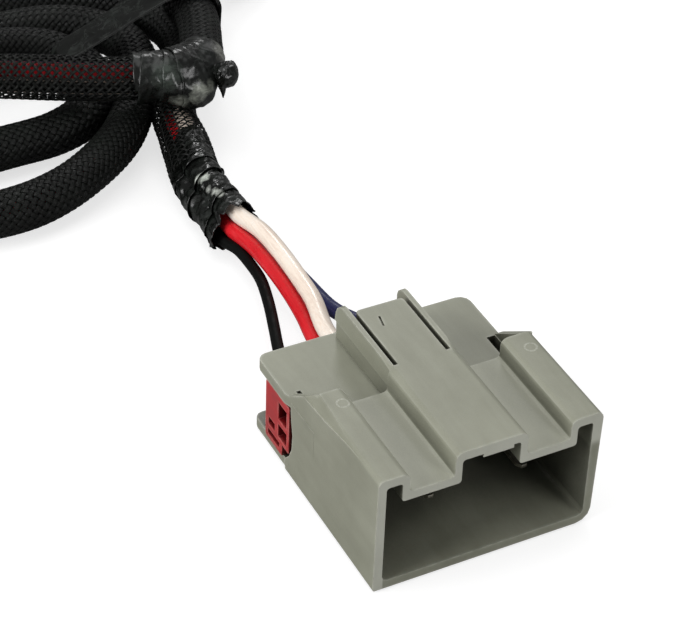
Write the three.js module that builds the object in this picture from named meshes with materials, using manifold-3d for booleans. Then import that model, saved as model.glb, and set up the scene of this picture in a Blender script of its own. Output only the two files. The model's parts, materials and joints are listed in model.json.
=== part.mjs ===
// Vehicle-side plug and harness of a trailer brake controller.
// A grey moulded shroud plug with a red secondary lock, four wires gathered in
// tape, a braided sleeve coiled and taped, and a small four-way plug for the
// controller at the far end.
//
// Millimetres, +Z up. The origin is the middle of the grey plug's flat
// underside. +X is to the right when looking into the mouth, the mouth faces
// -Y and the wires leave towards +Y. The harness lies on about z = 0.

import * as THREE from "three";
import { mergeVertices } from "three/addons/utils/BufferGeometryUtils.js";
import Module from "manifold-3d";

const wasm = await Module();
wasm.setup();
const { Manifold, Mesh } = wasm;

// ---- driving dimensions of the grey plug -------------------------------------

const HALF_W = 48 / 2; // half the overall width
const WALL = 1.6; // moulded wall
const FLOOR_T = 2.0; // floor of the shroud
const ROOF_T = 2.0; // roof of the shroud

// Shroud
const MOUTH_Y = -26; // front plane
const SHROUD_END_Y = 1.4; // where rails and channels stop
const LEFT_FOOT = -HALF_W - 0.15; // left side at the bottom
const LEFT_EDGE_R = 0.4; // rounding of the bottom left edge
const RIGHT_EDGE_R = 3.2; // rounding of the bottom right edge
const RIGHT_TOP = 24.5; // the right wall leans out a little towards its top
const RAIL_Z = 27.8; // top of the two outer rails
const CHANNEL_Z = 23.2; // top of the two low channels
const CROWN_Z = 28.8; // top of the raised middle
const RAIL_IN = 17.4; // inner edge of a rail, from the middle
const CROWN_HALF = 7.8; // half width of the raised middle

// Hollow of the shroud
const HOLLOW_HALF = HALF_W - WALL - 0.1;
const HOLLOW_RAIL_IN = RAIL_IN + 1.5;
const HOLLOW_CROWN_HALF = CROWN_HALF - 1.5;
const RAIL_UNDER = RAIL_Z - ROOF_T;
const CHANNEL_UNDER = CHANNEL_Z - 1.9;
const CROWN_UNDER = CROWN_Z - ROOF_T;

// Behind the shroud
const REAR_START_Y = SHROUD_END_Y - 1; // rear parts start inside the shroud
const RIGHT_REAR = 23.3; // right side of deck and floor
const LEFT_WALL_IN = -HALF_W + WALL + 0.2;
const RIGHT_WALL_IN = 22.1;
const RIGHT_WALL_END_Y = 23.5;
const FLOOR_LEFT = -23.65;
const FLOOR_TOP = FLOOR_T + 0.2;
const FLOOR_Y = 28.2; // rear edge of the floor
const DECK_LEFT = -24.5; // the deck overhangs the notch a little
const DECK_Z = 20.0; // top of the rear deck
const DECK_T = 2.5;
const DECK_Y = 25.5; // rear edge of the deck

// Web that carries the blades, and the terminal blocks behind it
const WEB_Y = [-1.5, 2.0];
const BLOCK_Y1 = 10.4; // rear face of the front block
const REAR_BLOCK_Y = [21.9, 25.2];
const BLOCK_RIGHT = HALF_W - 1.2;
const BLOCK_BOTTOM = 1.2;

// Terminal cavities
const FOUR_ACROSS = [-1.5, -0.5, 0.5, 1.5]; // places in a row, in pitches
const COLUMNS = FOUR_ACROSS.map((place) => place * 10.6);
const ROWS = [7.0, 14.2];
const CAVITIES = COLUMNS.flatMap((x) => ROWS.map((z) => ({ x, z })));
const CAVITY_HALF = 5.6 / 2; // the cavities are square

// Fins and the slits between them and the latch tongue
const FIN_Y = 24.2; // rear edge of the fins
const FIN_FOOT = 7.4; // outer face below the ledge
const FIN_LEDGE_Z = 24.3;
const FIN_TOP = 7.38; // outer edge of the top
const SLIT_IN = 5.32;
const SLIT_OUT = 6.28;

// Wires: cavity x and z, jacket radius and colour. lay is the offset (x, z)
// from the lead's centre line; run lists points (x, y, z) from plug to lead.
const WIRES = {
  black: {
    x: COLUMNS[0],
    z: ROWS[0],
    radius: 1.28,
    color: 0x17181a,
    lay: [-2.7, -2.8],
    run: [
      [-15.2, 31, 7], [-12.2, 40, 7], [-9.7, 47.7, 7], [-7.8, 55.6, 7],
      [-6.1, 64.6, 6.8], [-5.6, 71.5, 6.3], [-5.3, 77.5, 5.2],
    ],
  },
  red: {
    x: COLUMNS[1],
    z: ROWS[0],
    radius: 1.8,
    color: 0xc81e2d,
    lay: [-0.35, -0.4],
    run: [
      [-5.1, 31, 7.3], [-4.5, 39.2, 7.7], [-3.3, 47.2, 8],
      [-2.4, 57.4, 8], [-2.2, 66.3, 7.9], [-2.2, 75, 7.1],
    ],
  },
  white: {
    x: COLUMNS[1],
    z: ROWS[1],
    radius: 1.9,
    color: 0xeee6dc,
    lay: [1.3, 3.1],
    run: [
      [-5.0, 30, 14], [-4.1, 35.9, 13.2], [-1.6, 45.8, 12.3],
      [-0.8, 54, 12.0], [-0.3, 64.3, 11.7], [-0.3, 74, 11.0],
    ],
  },
  blue: {
    x: COLUMNS[3],
    z: ROWS[0],
    radius: 1.75,
    color: 0x23286a,
    lay: [3.35, -0.8],
    run: [
      [15.4, 30, 7], [12.2, 36.5, 7], [8.3, 43, 7], [5.6, 50, 7],
      [4.4, 59.9, 6.8], [3.1, 70, 6.2], [2.0, 78, 5.6],
    ],
  },
};

// ---- materials -----------------------------------------------------------------

const standard = (settings) => new THREE.MeshStandardMaterial(settings);
const MATERIALS = {
  plug: standard({ color: 0x8f8f86, roughness: 0.55 }),
  tongue: standard({ color: 0x908f87, roughness: 0.55 }),
  lock: standard({ color: 0xb8242c, roughness: 0.45 }),
  terminal: standard({ color: 0xc9c4b4, roughness: 0.3, metalness: 0.9 }),
  copper: standard({ color: 0xb8733a, roughness: 0.35, metalness: 0.9 }),
  tape: standard({ color: 0x101112, roughness: 0.3 }),
  sleeve: standard({ color: 0x15130f, roughness: 0.7 }),
  controller: standard({ color: 0x1b1c1e, roughness: 0.5 }),
  controllerLatch: standard({ color: 0x1d1e20, roughness: 0.5 }),
};
const jacketMaterial = (name) => standard({ color: WIRES[name].color, roughness: 0.4 });

// ---- helpers ---------------------------------------------------------------------
// A span is [low, high] along one axis; an outline is a list of [u, v] points.

// A closed three.js geometry as a solid.
function toSolid(geometry) {
  geometry.deleteAttribute("normal");
  geometry.deleteAttribute("uv");
  const merged = mergeVertices(geometry, 1e-4);
  return new Manifold(
    new Mesh({
      numProp: 3,
      vertProperties: new Float32Array(merged.attributes.position.array),
      triVerts: new Uint32Array(merged.index.array),
    }),
  );
}

function toGeometry(solid) {
  const { numProp, numVert, vertProperties, triVerts } = solid.getMesh();
  const positions = new Float32Array(numVert * 3);
  for (let i = 0; i < numVert; i++) {
    positions.set(vertProperties.subarray(i * numProp, i * numProp + 3), i * 3);
  }
  const geometry = new THREE.BufferGeometry();
  geometry.setAttribute("position", new THREE.BufferAttribute(positions, 3));
  geometry.setIndex(new THREE.BufferAttribute(new Uint32Array(triVerts), 1));
  geometry.computeVertexNormals();
  return geometry;
}

const join = (...solids) => solids.reduce((sum, solid) => sum.add(solid));
const cut = (body, ...tools) => tools.reduce((rest, tool) => rest.subtract(tool), body);

const about = (middle, half) => [middle - half, middle + half];
// Span in x on the right (side 1) or left (side -1) of the middle.
const sideSpan = (side, inner, outer) => (side > 0 ? [inner, outer] : [-outer, -inner]);

function box(...spans) {
  const size = spans.map(([low, high]) => high - low);
  const middle = spans.map(([low, high]) => (low + high) / 2);
  return toSolid(new THREE.BoxGeometry(...size).translate(...middle));
}

// Points on an arc at the given angles, counted in steps of 30 degrees.
const arcPoints = (u, v, radius, steps) =>
  steps.map((step) => {
    const angle = (step * Math.PI) / 6;
    return [u + radius * Math.cos(angle), v + radius * Math.sin(angle)];
  });

// Corners [u, v, radius] to an outline; a corner without a radius stays sharp.
function rounded(corners, segments = 3) {
  return corners.flatMap(([u, v, radius], i) => {
    if (!radius) return [[u, v]];
    const corner = new THREE.Vector2(u, v);
    const towards = ([otherU, otherV]) =>
      new THREE.Vector2(otherU - u, otherV - v).normalize();
    const back = towards(corners[(i + corners.length - 1) % corners.length]);
    const ahead = towards(corners[(i + 1) % corners.length]);
    const halfAngle = Math.acos(THREE.MathUtils.clamp(back.dot(ahead), -1, 1)) / 2;
    const trim = radius / Math.tan(halfAngle);
    const bisector = back.clone().add(ahead).normalize();
    const centre = corner.clone().addScaledVector(bisector, radius / Math.sin(halfAngle));
    const angleTo = (direction) => {
      const end = corner.clone().addScaledVector(direction, trim);
      return Math.atan2(end.y - centre.y, end.x - centre.x);
    };
    const start = angleTo(back);
    let end = angleTo(ahead);
    while (end - start > Math.PI) end -= 2 * Math.PI;
    while (end - start < -Math.PI) end += 2 * Math.PI;
    return Array.from({ length: segments + 1 }, (_, k) => {
      const angle = start + ((end - start) * k) / segments;
      return [centre.x + radius * Math.cos(angle), centre.y + radius * Math.sin(angle)];
    });
  });
}

// Corners of a rectangle, all with the same radius.
const rectangle = ([u0, u1], [v0, v1], radius) => [
  [u0, v0, radius],
  [u1, v0, radius],
  [u1, v1, radius],
  [u0, v1, radius],
];

const toVectors = (outline) => outline.map(([u, v]) => new THREE.Vector2(u, v));

const plate = (outline, [low, high]) =>
  new THREE.ExtrudeGeometry(new THREE.Shape(toVectors(outline)), {
    depth: high - low,
    bevelEnabled: false,
    steps: 1,
  });

// Outline in (y, z), extruded over a span in x.
function alongX(outline, span) {
  const axes = new THREE.Matrix4().makeBasis(
    new THREE.Vector3(0, 1, 0),
    new THREE.Vector3(0, 0, 1),
    new THREE.Vector3(1, 0, 0),
  );
  return toSolid(plate(outline, span).applyMatrix4(axes).translate(span[0], 0, 0));
}
// Outline in (x, z), extruded over a span in y.
const alongY = (outline, span) =>
  toSolid(plate(outline, span).rotateX(Math.PI / 2).translate(0, span[1], 0));
// Outline in (x, y), extruded over a span in z.
const alongZ = (outline, span) => toSolid(plate(outline, span).translate(0, 0, span[0]));

const splineOf = (vectors) => new THREE.CatmullRomCurve3(vectors, false, "centripetal");
const splineThrough = (points) => splineOf(points.map((point) => new THREE.Vector3(...point)));

function circle(radius, sides) {
  return Array.from({ length: sides }, (_, i) => {
    const angle = (2 * Math.PI * i) / sides;
    return new THREE.Vector2(radius * Math.cos(angle), radius * Math.sin(angle));
  });
}

// A round rod swept along a curve, or a tube when an inner radius is given.
function swept(curve, { radius, inner, sides, steps }) {
  const shape = new THREE.Shape(circle(radius, sides));
  if (inner) shape.holes.push(new THREE.Path(circle(inner, sides).reverse()));
  return toSolid(
    new THREE.ExtrudeGeometry(shape, { steps, bevelEnabled: false, extrudePath: curve }),
  );
}

// A straight round rod or tube along Y.
function rodY(x, z, [y0, y1], section) {
  const line = new THREE.LineCurve3(new THREE.Vector3(x, y0, z), new THREE.Vector3(x, y1, z));
  return swept(line, { ...section, steps: 1 });
}

// ---- grey plug housing -----------------------------------------------------------

function shroud() {
  const outer = rounded([
    [LEFT_FOOT, 0, LEFT_EDGE_R],
    [HALF_W, 0, RIGHT_EDGE_R],
    [RIGHT_TOP, RAIL_Z, 1.4],
    [RAIL_IN, RAIL_Z, 1.6],
    [RAIL_IN, CHANNEL_Z, 0.9],
    [CROWN_HALF, CHANNEL_Z, 0.9],
    [CROWN_HALF, CROWN_Z, 1.6],
    [-CROWN_HALF, CROWN_Z, 1.6],
    [-CROWN_HALF, CHANNEL_Z, 0.9],
    [-RAIL_IN, CHANNEL_Z, 0.9],
    [-RAIL_IN, RAIL_Z, 1.6],
    [-HALF_W, RAIL_Z, 1.2],
  ]);
  const hollowRight = [
    [HOLLOW_HALF, FLOOR_T, 1.2],
    [HOLLOW_HALF, RAIL_UNDER, 0.6],
    [HOLLOW_RAIL_IN, RAIL_UNDER, 0.6],
    [HOLLOW_RAIL_IN, CHANNEL_UNDER, 0.6],
    [HOLLOW_CROWN_HALF, CHANNEL_UNDER, 0.6],
    [HOLLOW_CROWN_HALF, CROWN_UNDER, 0.6],
  ];
  const hollowLeft = hollowRight.map(([x, z, radius]) => [-x, z, radius]).reverse();
  return alongY(outer, [MOUTH_Y, SHROUD_END_Y]).subtract(
    alongY(rounded([...hollowRight, ...hollowLeft], 2), [MOUTH_Y - 1, SHROUD_END_Y + 1]),
  );
}

// The crown's roof runs on to where the latch tongue starts.
const crownRoof = () =>
  box(about(0, SLIT_OUT + 0.12), [SHROUD_END_Y - 0.5, WEB_Y[1]], [CROWN_UNDER, CROWN_Z]);

// A shallow rib inside the crown's roof guides the mating latch.
const guideRib = () =>
  box(
    [-1.9, HOLLOW_CROWN_HALF - 1.6],
    [MOUTH_Y, WEB_Y[0]],
    [CROWN_UNDER - 0.8, CROWN_UNDER + 0.3],
  );

// Web with the front block, its upper parts under the channels, and the rear block.
function terminalBlocks() {
  const underChannel = (side) =>
    box(
      sideSpan(side, HOLLOW_CROWN_HALF - 0.3, HOLLOW_RAIL_IN + 0.3),
      [WEB_Y[0], SHROUD_END_Y],
      [18, CHANNEL_UNDER + 0.6],
    );
  return join(
    box(about(0, BLOCK_RIGHT), [WEB_Y[0], BLOCK_Y1], [BLOCK_BOTTOM, DECK_Z - 0.6]),
    underChannel(1),
    underChannel(-1),
    box([-21, BLOCK_RIGHT], REAR_BLOCK_Y, [BLOCK_BOTTOM, 18.6]),
  );
}

// Points round the bottom right edge behind the shroud.
const rightEdgeArc = (steps) =>
  arcPoints(RIGHT_REAR - RIGHT_EDGE_R, RIGHT_EDGE_R, RIGHT_EDGE_R, steps);

// Floor, with its left edge set in behind the side notch.
function floorPlate() {
  const slab = alongZ(
    rounded([
      [FLOOR_LEFT, SHROUD_END_Y - 2],
      [RIGHT_REAR, SHROUD_END_Y - 2],
      [RIGHT_REAR, FLOOR_Y, 3],
      [FLOOR_LEFT, FLOOR_Y, 1.8],
    ]),
    [0, FLOOR_TOP],
  );
  const edgeRounding = alongY(
    [
      [RIGHT_REAR - RIGHT_EDGE_R, -1],
      [RIGHT_REAR + 1, -1],
      [RIGHT_REAR + 1, RIGHT_EDGE_R],
      ...rightEdgeArc([0, -1, -2, -3]),
    ],
    [-5, FLOOR_Y + 1],
  );
  return slab.subtract(edgeRounding);
}

function rearDeck() {
  const outline = rounded([
    [DECK_LEFT + 0.6, REAR_START_Y],
    [RIGHT_REAR, REAR_START_Y],
    [RIGHT_REAR, DECK_Y, 2.4],
    [DECK_LEFT, DECK_Y, 1.9],
    [DECK_LEFT, 12.6, 1.0],
    [DECK_LEFT + 0.6, 10.6],
  ]);
  return alongZ(outline, [DECK_Z - DECK_T, DECK_Z]);
}

// The left wall stops at the notch that the lock slides through.
function leftWall() {
  // Side outline (y, z), with the curved edge of the notch.
  const side = [
    [REAR_START_Y, 3], [REAR_START_Y, 19], [10.5, 19], [10.5, 17],
    [10.2, 14.6], [9.5, 11.2], [9.8, 7.3], [10.9, 4.8],
    [12.7, 2.8], [13.2, 1.0], [12.0, 1.0],
  ];
  const footInner = -HALF_W + 4;
  const foot = [
    ...arcPoints(LEFT_FOOT + LEFT_EDGE_R, LEFT_EDGE_R, LEFT_EDGE_R, [9, 8, 7, 6]),
    [-HALF_W - 0.1, 3.2],
    [LEFT_WALL_IN, 3.2],
    [LEFT_WALL_IN, FLOOR_TOP],
    [footInner, FLOOR_TOP],
    [footInner, 0],
  ];
  return join(
    alongX(side, [-HALF_W - 0.1, LEFT_WALL_IN]),
    alongY(foot, [REAR_START_Y, 12.4]),
  );
}

function rightWall() {
  const spanY = [REAR_START_Y, RIGHT_WALL_END_Y];
  const footInner = RIGHT_REAR - 4;
  const foot = [
    [footInner, 0],
    ...rightEdgeArc([-3, -2, -1, 0]),
    [RIGHT_REAR, 3.4],
    [RIGHT_WALL_IN, 3.4],
    [RIGHT_WALL_IN, FLOOR_TOP],
    [footInner, FLOOR_TOP],
  ];
  return join(
    box([RIGHT_WALL_IN, RIGHT_REAR], spanY, [RIGHT_EDGE_R, DECK_Z - 0.4]),
    alongY(foot, spanY),
  );
}

// Sloping gussets carry each side wall from rail height down to the deck.
function gussets() {
  const frontY = SHROUD_END_Y - 0.4;
  const topZ = RAIL_Z - 0.3;
  const side = [
    [frontY, DECK_Z - 1],
    [12.4, DECK_Z - 1],
    [11.6, DECK_Z],
    [SHROUD_END_Y, topZ],
    [frontY, topZ],
  ];
  return join(
    alongX(side, [-HALF_W, -HALF_W + WALL]),
    alongX(side, [RIGHT_REAR - 0.9, RIGHT_TOP - 0.1]),
  );
}

// Cutters that run the crown's rounded edge out into the edge of a fin.
function crownRunOut(side) {
  const radius = 1.6;
  const edge = arcPoints(CROWN_HALF - radius, CROWN_Z - radius, radius, [0, 1, 2, 3]);
  const outside = [CROWN_HALF + 2, CROWN_Z + 2];
  const startY = SHROUD_END_Y - 0.3;
  const endY = SHROUD_END_Y + 4.2;
  return [0, 1, 2].map((k) =>
    Manifold.hull([
      ...[edge[k], edge[k + 1], outside].map(([x, z]) => [side * x, startY, z]),
      [side * (FIN_TOP + 0.01), endY, CROWN_Z + 0.01],
      [side * outside[0], endY, outside[1]],
    ]),
  );
}

// Fin beside the latch tongue: thicker above a small ledge, drafting in
// towards its top.
function fin(side) {
  const section = [
    [SLIT_OUT, DECK_Z - 1],
    [FIN_FOOT, DECK_Z - 1],
    [FIN_FOOT, FIN_LEDGE_Z],
    [CROWN_HALF, FIN_LEDGE_Z + 0.3],
    [FIN_TOP, CROWN_Z],
    [FIN_TOP, CROWN_Z + 1],
    [SLIT_OUT, CROWN_Z + 1],
  ].map(([x, z]) => [side * x, z]);
  const profile = rounded([
    [SHROUD_END_Y - 0.5, DECK_Z - 1],
    [FIN_Y, DECK_Z - 1],
    [FIN_Y, CROWN_Z, 2.4],
    [SHROUD_END_Y - 0.5, CROWN_Z],
  ]);
  const wall = alongY(section, [SHROUD_END_Y - 0.06, FIN_Y + 1]).intersect(
    alongX(profile, sideSpan(side, SLIT_OUT - 1, CROWN_HALF + 1)),
  );
  return cut(wall, ...crownRunOut(side));
}

// Cutters that relieve the left rail's outer edge above a fine ledge, more so
// towards the rear.
function railRelief() {
  // Stations: y, z of the ledge, x at the ledge, x at the top.
  const stations = [
    [-22, 27.45, -23.85, -23.6],
    [-12, 26.75, -23.8, -23.3],
    [-4, 25.4, -23.72, -22.7],
    [8, 24.3, -23.7, -22.3],
  ];
  const outsideX = -HALF_W - 1;
  const aboveZ = RAIL_Z + 0.4;
  const corners = ([y, ledgeZ, ledgeX, topX]) => [
    [outsideX, y, ledgeZ],
    [ledgeX, y, ledgeZ],
    [topX, y, aboveZ],
    [outsideX, y, aboveZ],
  ];
  return [0, 1, 2].map((k) =>
    Manifold.hull([...corners(stations[k]), ...corners(stations[k + 1])]),
  );
}

// Cutter that opens a hollow rail into a pocket in the deck.
const railPocket = (side, inner, endY) =>
  box(
    sideSpan(side, inner, 22.2),
    [WEB_Y[0] - 0.2, endY],
    [DECK_Z - 3.2, RAIL_UNDER - 0.6],
  );

// Cutters for a cavity in both blocks, and the blade's slot in the web.
function cavityCutters({ x, z }) {
  const spanX = about(x, CAVITY_HALF);
  const spanZ = about(z, CAVITY_HALF);
  return [
    box(spanX, [WEB_Y[1], BLOCK_Y1 + 1], spanZ),
    box(spanX, [REAR_BLOCK_Y[0] - 1, REAR_BLOCK_Y[1] + 1], spanZ),
    box(about(x, 1.7), [WEB_Y[0] - 1, WEB_Y[1] + 1], about(z, 0.7)),
  ];
}

function plugHousing() {
  const body = join(
    shroud(),
    crownRoof(),
    guideRib(),
    terminalBlocks(),
    floorPlate(),
    rearDeck(),
    leftWall(),
    rightWall(),
    gussets(),
    fin(1),
    fin(-1),
  );
  return cut(
    body,
    ...railRelief(),
    // The hollow crown runs through to the rear above the deck.
    box(about(0, SLIT_OUT), [WEB_Y[1], FIN_Y + 1], [DECK_Z, CROWN_Z + 2]),
    box(
      about(0, HOLLOW_CROWN_HALF),
      [WEB_Y[0] - 0.2, WEB_Y[1] + 0.2],
      [DECK_Z, CROWN_UNDER],
    ),
    railPocket(-1, 21.3, 12.1),
    railPocket(1, 20.3, 11.2),
    ...CAVITIES.flatMap(cavityCutters),
  );
}

// ---- latch tongue ------------------------------------------------------------------

function latchTongue() {
  const [frontY, rearY] = [2.12, 20.3];
  const slab = alongZ(
    rounded([
      [-SLIT_IN, frontY],
      [SLIT_IN, frontY],
      [SLIT_IN, rearY, 0.8],
      [-SLIT_IN, rearY, 0.8],
    ]),
    [CROWN_Z - 1.9, CROWN_Z],
  );
  // Catch under the tongue, ramped towards the mouth.
  const catchTop = CROWN_Z - 1.7;
  const catchBottom = CROWN_Z - 3.6;
  const catchBlock = alongX(
    [[9.0, catchTop], [13.5, catchBottom], [14.4, catchBottom], [14.4, catchTop]],
    about(0, 2.6),
  );
  // Shallow, slightly skewed groove in the top.
  const groove = alongZ(
    [[-2.55, 13.8], [-2.13, 13.72], [-1.5, 16.82], [-1.92, 16.9]],
    [CROWN_Z - 0.5, CROWN_Z + 1],
  );
  return slab.add(catchBlock).subtract(groove);
}

// ---- red secondary lock ------------------------------------------------------------

const LOCK = { x: [-24.3, 21.8], y: [10.8, 21.4], z: [2.6, 17.3] };

// Openings in the end that shows in the side notch: depth in x, span y, span z.
const LOCK_END_OPENINGS = [
  [4.2, [11.9, 15.6], [11.0, 15.2]],
  [4.2, [11.9, 15.6], [6.4, 9.6]],
  [3.0, [17.2, 20.0], [6.4, 8.2]],
  [1.0, [15.0, 20.2], [3.6, 5.0]],
  // the lower front corner clears the foot of the side wall over the whole slide
  [5.0, [LOCK.y[0] - 1, 13.7], [LOCK.z[0] - 1, 5.4]],
];

function secondaryLock() {
  const bar = alongX(rounded(rectangle(LOCK.y, LOCK.z, 0.5), 1), LOCK.x);
  return cut(
    bar,
    ...CAVITIES.map(({ x, z }) =>
      box([x - 2.2, x + 4.6], [LOCK.y[0] - 1, LOCK.y[1] + 1], about(z, 2.85)),
    ),
    ...LOCK_END_OPENINGS.map(([depth, spanY, spanZ]) =>
      box([LOCK.x[0] - 1, LOCK.x[0] + depth], spanY, spanZ),
    ),
  );
}

// ---- blade terminals, conductors and wires -----------------------------------------

const BLADE = { half: 1.4, tipHalf: 0.6, thickness: 0.8, tipY: -13.6, taper: 1.2, rearY: 3.4 };
const CONDUCTOR = { radius: 0.95, sides: 8 };
const GRIP_END_Y = 24.9;
const JACKET_START_Y = 20.7;

function bladeTerminal({ x, z, radius }) {
  const taperY = BLADE.tipY + BLADE.taper;
  const blade = alongZ(
    [
      [x - BLADE.half, BLADE.rearY],
      [x - BLADE.half, taperY],
      [x - BLADE.tipHalf, BLADE.tipY],
      [x + BLADE.tipHalf, BLADE.tipY],
      [x + BLADE.half, taperY],
      [x + BLADE.half, BLADE.rearY],
    ],
    about(z, BLADE.thickness / 2),
  );
  const body = cut(
    box(about(x, 1.6), [3.0, 10.4], [z - 1.7, z + 1.5]),
    box(about(x, 1.2), [6.4, 11], [z - 1.2, z + 1.0]),
  );
  const shoulder = box([x - 2.6, x - 1.4], [7.8, 10.3], about(z, 1.0));
  // The strip steps down from the crimp to pass under the jacket.
  const stripTop = z - 1.45;
  const gripRadius = radius + 0.6;
  const strip = join(
    box(about(x, 1.1), [9.8, 20.3], [z - 1.95, stripTop]),
    box(about(x, 1.1), [19.9, 20.4], [z - gripRadius, stripTop]),
    box(about(x, 0.9), [20.0, GRIP_END_Y], [z - gripRadius, z - radius - 0.26]),
  );
  const crimp = rodY(x, z, [11.6, 18.4], { radius: 1.85, inner: 1.3, sides: 10 });
  const grip = rodY(x, z, [REAR_BLOCK_Y[0] + 0.1, GRIP_END_Y], {
    radius: gripRadius + 0.05,
    inner: radius + 0.28,
    sides: 12,
  });
  return join(blade, body, shoulder, strip, crimp, grip);
}

const conductor = ({ x, z }) => rodY(x, z, [11.9, 20.4], CONDUCTOR);

// Centre line of the gathered wires, up to and into the sleeve; its first
// LEAD_TAPED points are taped.
const LEAD = [
  [-2.8, 84.3, 6.3], [-2.6, 90.5, 6.3], [-2.3, 97.0, 6.3], [-1.8, 105.0, 6.3],
  [-0.7, 114.0, 6.3], [0.8, 121.5, 6.3], [1.9, 125.8, 6.3],
];
const LEAD_TAPED = 5;

function wire({ x, z, radius, lay, run }) {
  const centreLine = splineThrough([
    [x, JACKET_START_Y, z],
    [x, 26, z],
    ...run,
    ...LEAD.map(([leadX, leadY, leadZ]) => [leadX + lay[0], leadY, leadZ + lay[1]]),
  ]);
  return swept(centreLine, { radius, sides: 8, steps: 24 });
}

const leadTape = () =>
  swept(splineThrough(LEAD.slice(0, LEAD_TAPED)), {
    radius: 5.9,
    inner: 5.4,
    sides: 14,
    steps: 8,
  });

// ---- sleeve, tape and coil ---------------------------------------------------------

const KNOT = [3.0, 129.2, 18.7]; // where the coil is taped
// Centre line of the sleeve (x, y, z), from the lead to the controller's wires.
const COIL = [
  [2.8, 128.6, 6.2], [5.2, 134.5, 6.0], [9.2, 141, 6.0], [13.6, 148.6, 6.0],
  [17.4, 157, 6.0], [18.0, 168, 6.0], [12.5, 180, 6.0], [0, 189, 6.0],
  [-18, 194, 6.0], [-40, 192, 6.0], [-60, 183, 6.0], [-73, 168, 6.0],
  [-79, 150, 6.0], [-77, 132, 6.0], [-68, 118, 6.0], [-55, 111, 6.0],
  [-42.5, 110.2, 6.0], [-32.4, 112.8, 6.0], [-22.4, 118.2, 6.0], [-12.2, 126.5, 6.0],
  [-4.6, 136.4, 6.0], [1.2, 147, 6.0], [5.0, 158, 6.0], [4.6, 168, 6.0],
  [-2.5, 177, 6.0], [-16, 181.8, 6.0], [-36, 180.0, 6.0], [-53, 172, 6.0],
  [-63.5, 160, 6.0], [-66.5, 148, 6.0], [-62, 138, 6.0], [-50, 134.6, 6.0],
  [-36, 134.3, 6.0], [-24.5, 135.2, 6.0], [-15.8, 139.4, 6.0], [-10.6, 147.5, 6.0],
  [-8.0, 158, 6.0], [-14, 167, 7.5], [-27, 168.6, 10.5], [-39.5, 163.5, 14.0],
  [-45.5, 156, 16.8], [-41, 149.6, 17.6], [-31, 144.9, 17.6], [-22, 139.8, 17.9],
  [-13.5, 134.6, 18.4], [-4.6, 130.8, 18.7], KNOT, [8.6, 130.4, 18.7],
  [12.2, 134.0, 18.3], [14.8, 140.0, 17.8], [17.4, 146.6, 17.6], [19.0, 153, 17.6],
  [19.4, 161, 17.6], [23.6, 170.4, 16.4], [31.0, 178.4, 12.5], [40.0, 184.4, 8.0],
  [48.0, 188.6, 6.2],
];
const coilCurve = splineThrough(COIL);
const coilLength = coilCurve.getLength();

const braidedSleeve = () => swept(coilCurve, { radius: 5.4, sides: 10, steps: 150 });

// Nearest arc-length fraction of a curve to a point.
function nearestFraction(curve, point) {
  const samples = 2000;
  const target = new THREE.Vector3(...point);
  let nearest = 0;
  let shortest = Infinity;
  for (let i = 0; i <= samples; i++) {
    const distance = curve.getPointAt(i / samples).distanceTo(target);
    if (distance < shortest) {
      shortest = distance;
      nearest = i / samples;
    }
  }
  return nearest;
}

// Tape round the knot; its twisted end stands off the side as a small knob.
function coilTape() {
  const knotAt = nearestFraction(coilCurve, KNOT);
  // Sweeps a section along the coil, from a length before the knot to one after.
  const sweptAtKnot = (before, after, section) => {
    const start = knotAt - before / coilLength;
    const end = knotAt + after / coilLength;
    const points = Array.from({ length: section.steps + 1 }, (_, i) =>
      coilCurve.getPointAt(start + ((end - start) * i) / section.steps),
    );
    return swept(splineOf(points), section);
  };
  const knob = toSolid(new THREE.SphereGeometry(3.1, 14, 10).translate(15.4, 127.0, 16.2));
  return join(
    sweptAtKnot(8, 9, { radius: 6.9, inner: 6.05, sides: 14, steps: 9 }),
    cut(knob, sweptAtKnot(12, 16, { radius: 6.1, sides: 14, steps: 12 })),
  );
}

// Tie band round all the strands on the far side of the knot.
function tieBand() {
  const outline = (grow) =>
    rounded(
      [
        [-15.6 - grow, 0.5 - grow, 5.0 + grow],
        [24.2 + grow, 0.5 - grow, 5.0 + grow],
        [25.4 + grow, 23.7 + grow, 5.6 + grow],
        [11.6 - grow, 23.7 + grow, 5.6 + grow],
        [-15.6 - grow, 12.4 + grow, 4.4 + grow],
      ],
      4,
    );
  const thickness = 0.5;
  return alongY(outline(thickness), [151.5, 161]).subtract(alongY(outline(0), [151, 162]));
}

function sleeveEndTape() {
  const centreLine = splineOf([
    coilCurve.getPointAt(1 - 13 / coilLength),
    coilCurve.getPointAt(1 - 6 / coilLength),
    coilCurve.getPointAt(1),
    new THREE.Vector3(51.5, 190.6, 6.2),
  ]);
  return swept(centreLine, { radius: 6.5, inner: 6.0, sides: 12, steps: 6 });
}

// ---- controller plug at the far end ------------------------------------------------
// Modelled in its own frame: wires enter at y = 0, local +Y is the mating end.

const CTRL = {
  halfWidth: 25 / 2,
  length: 27,
  height: 12.4,
  cavityZ: 6.4,
  at: [66, 200, 0],
  heading: Math.atan2(0.5, 0.866), // direction of the mating end, from +X
};
const CTRL_COLUMNS = FOUR_ACROSS.map((place) => place * 5.6);
const TAIL_R = 1.35; // jacket of a tail wire

const ctrlGroup = new THREE.Group();
ctrlGroup.position.set(...CTRL.at);
ctrlGroup.rotation.z = CTRL.heading - Math.PI / 2;
ctrlGroup.updateMatrixWorld(true);

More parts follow.
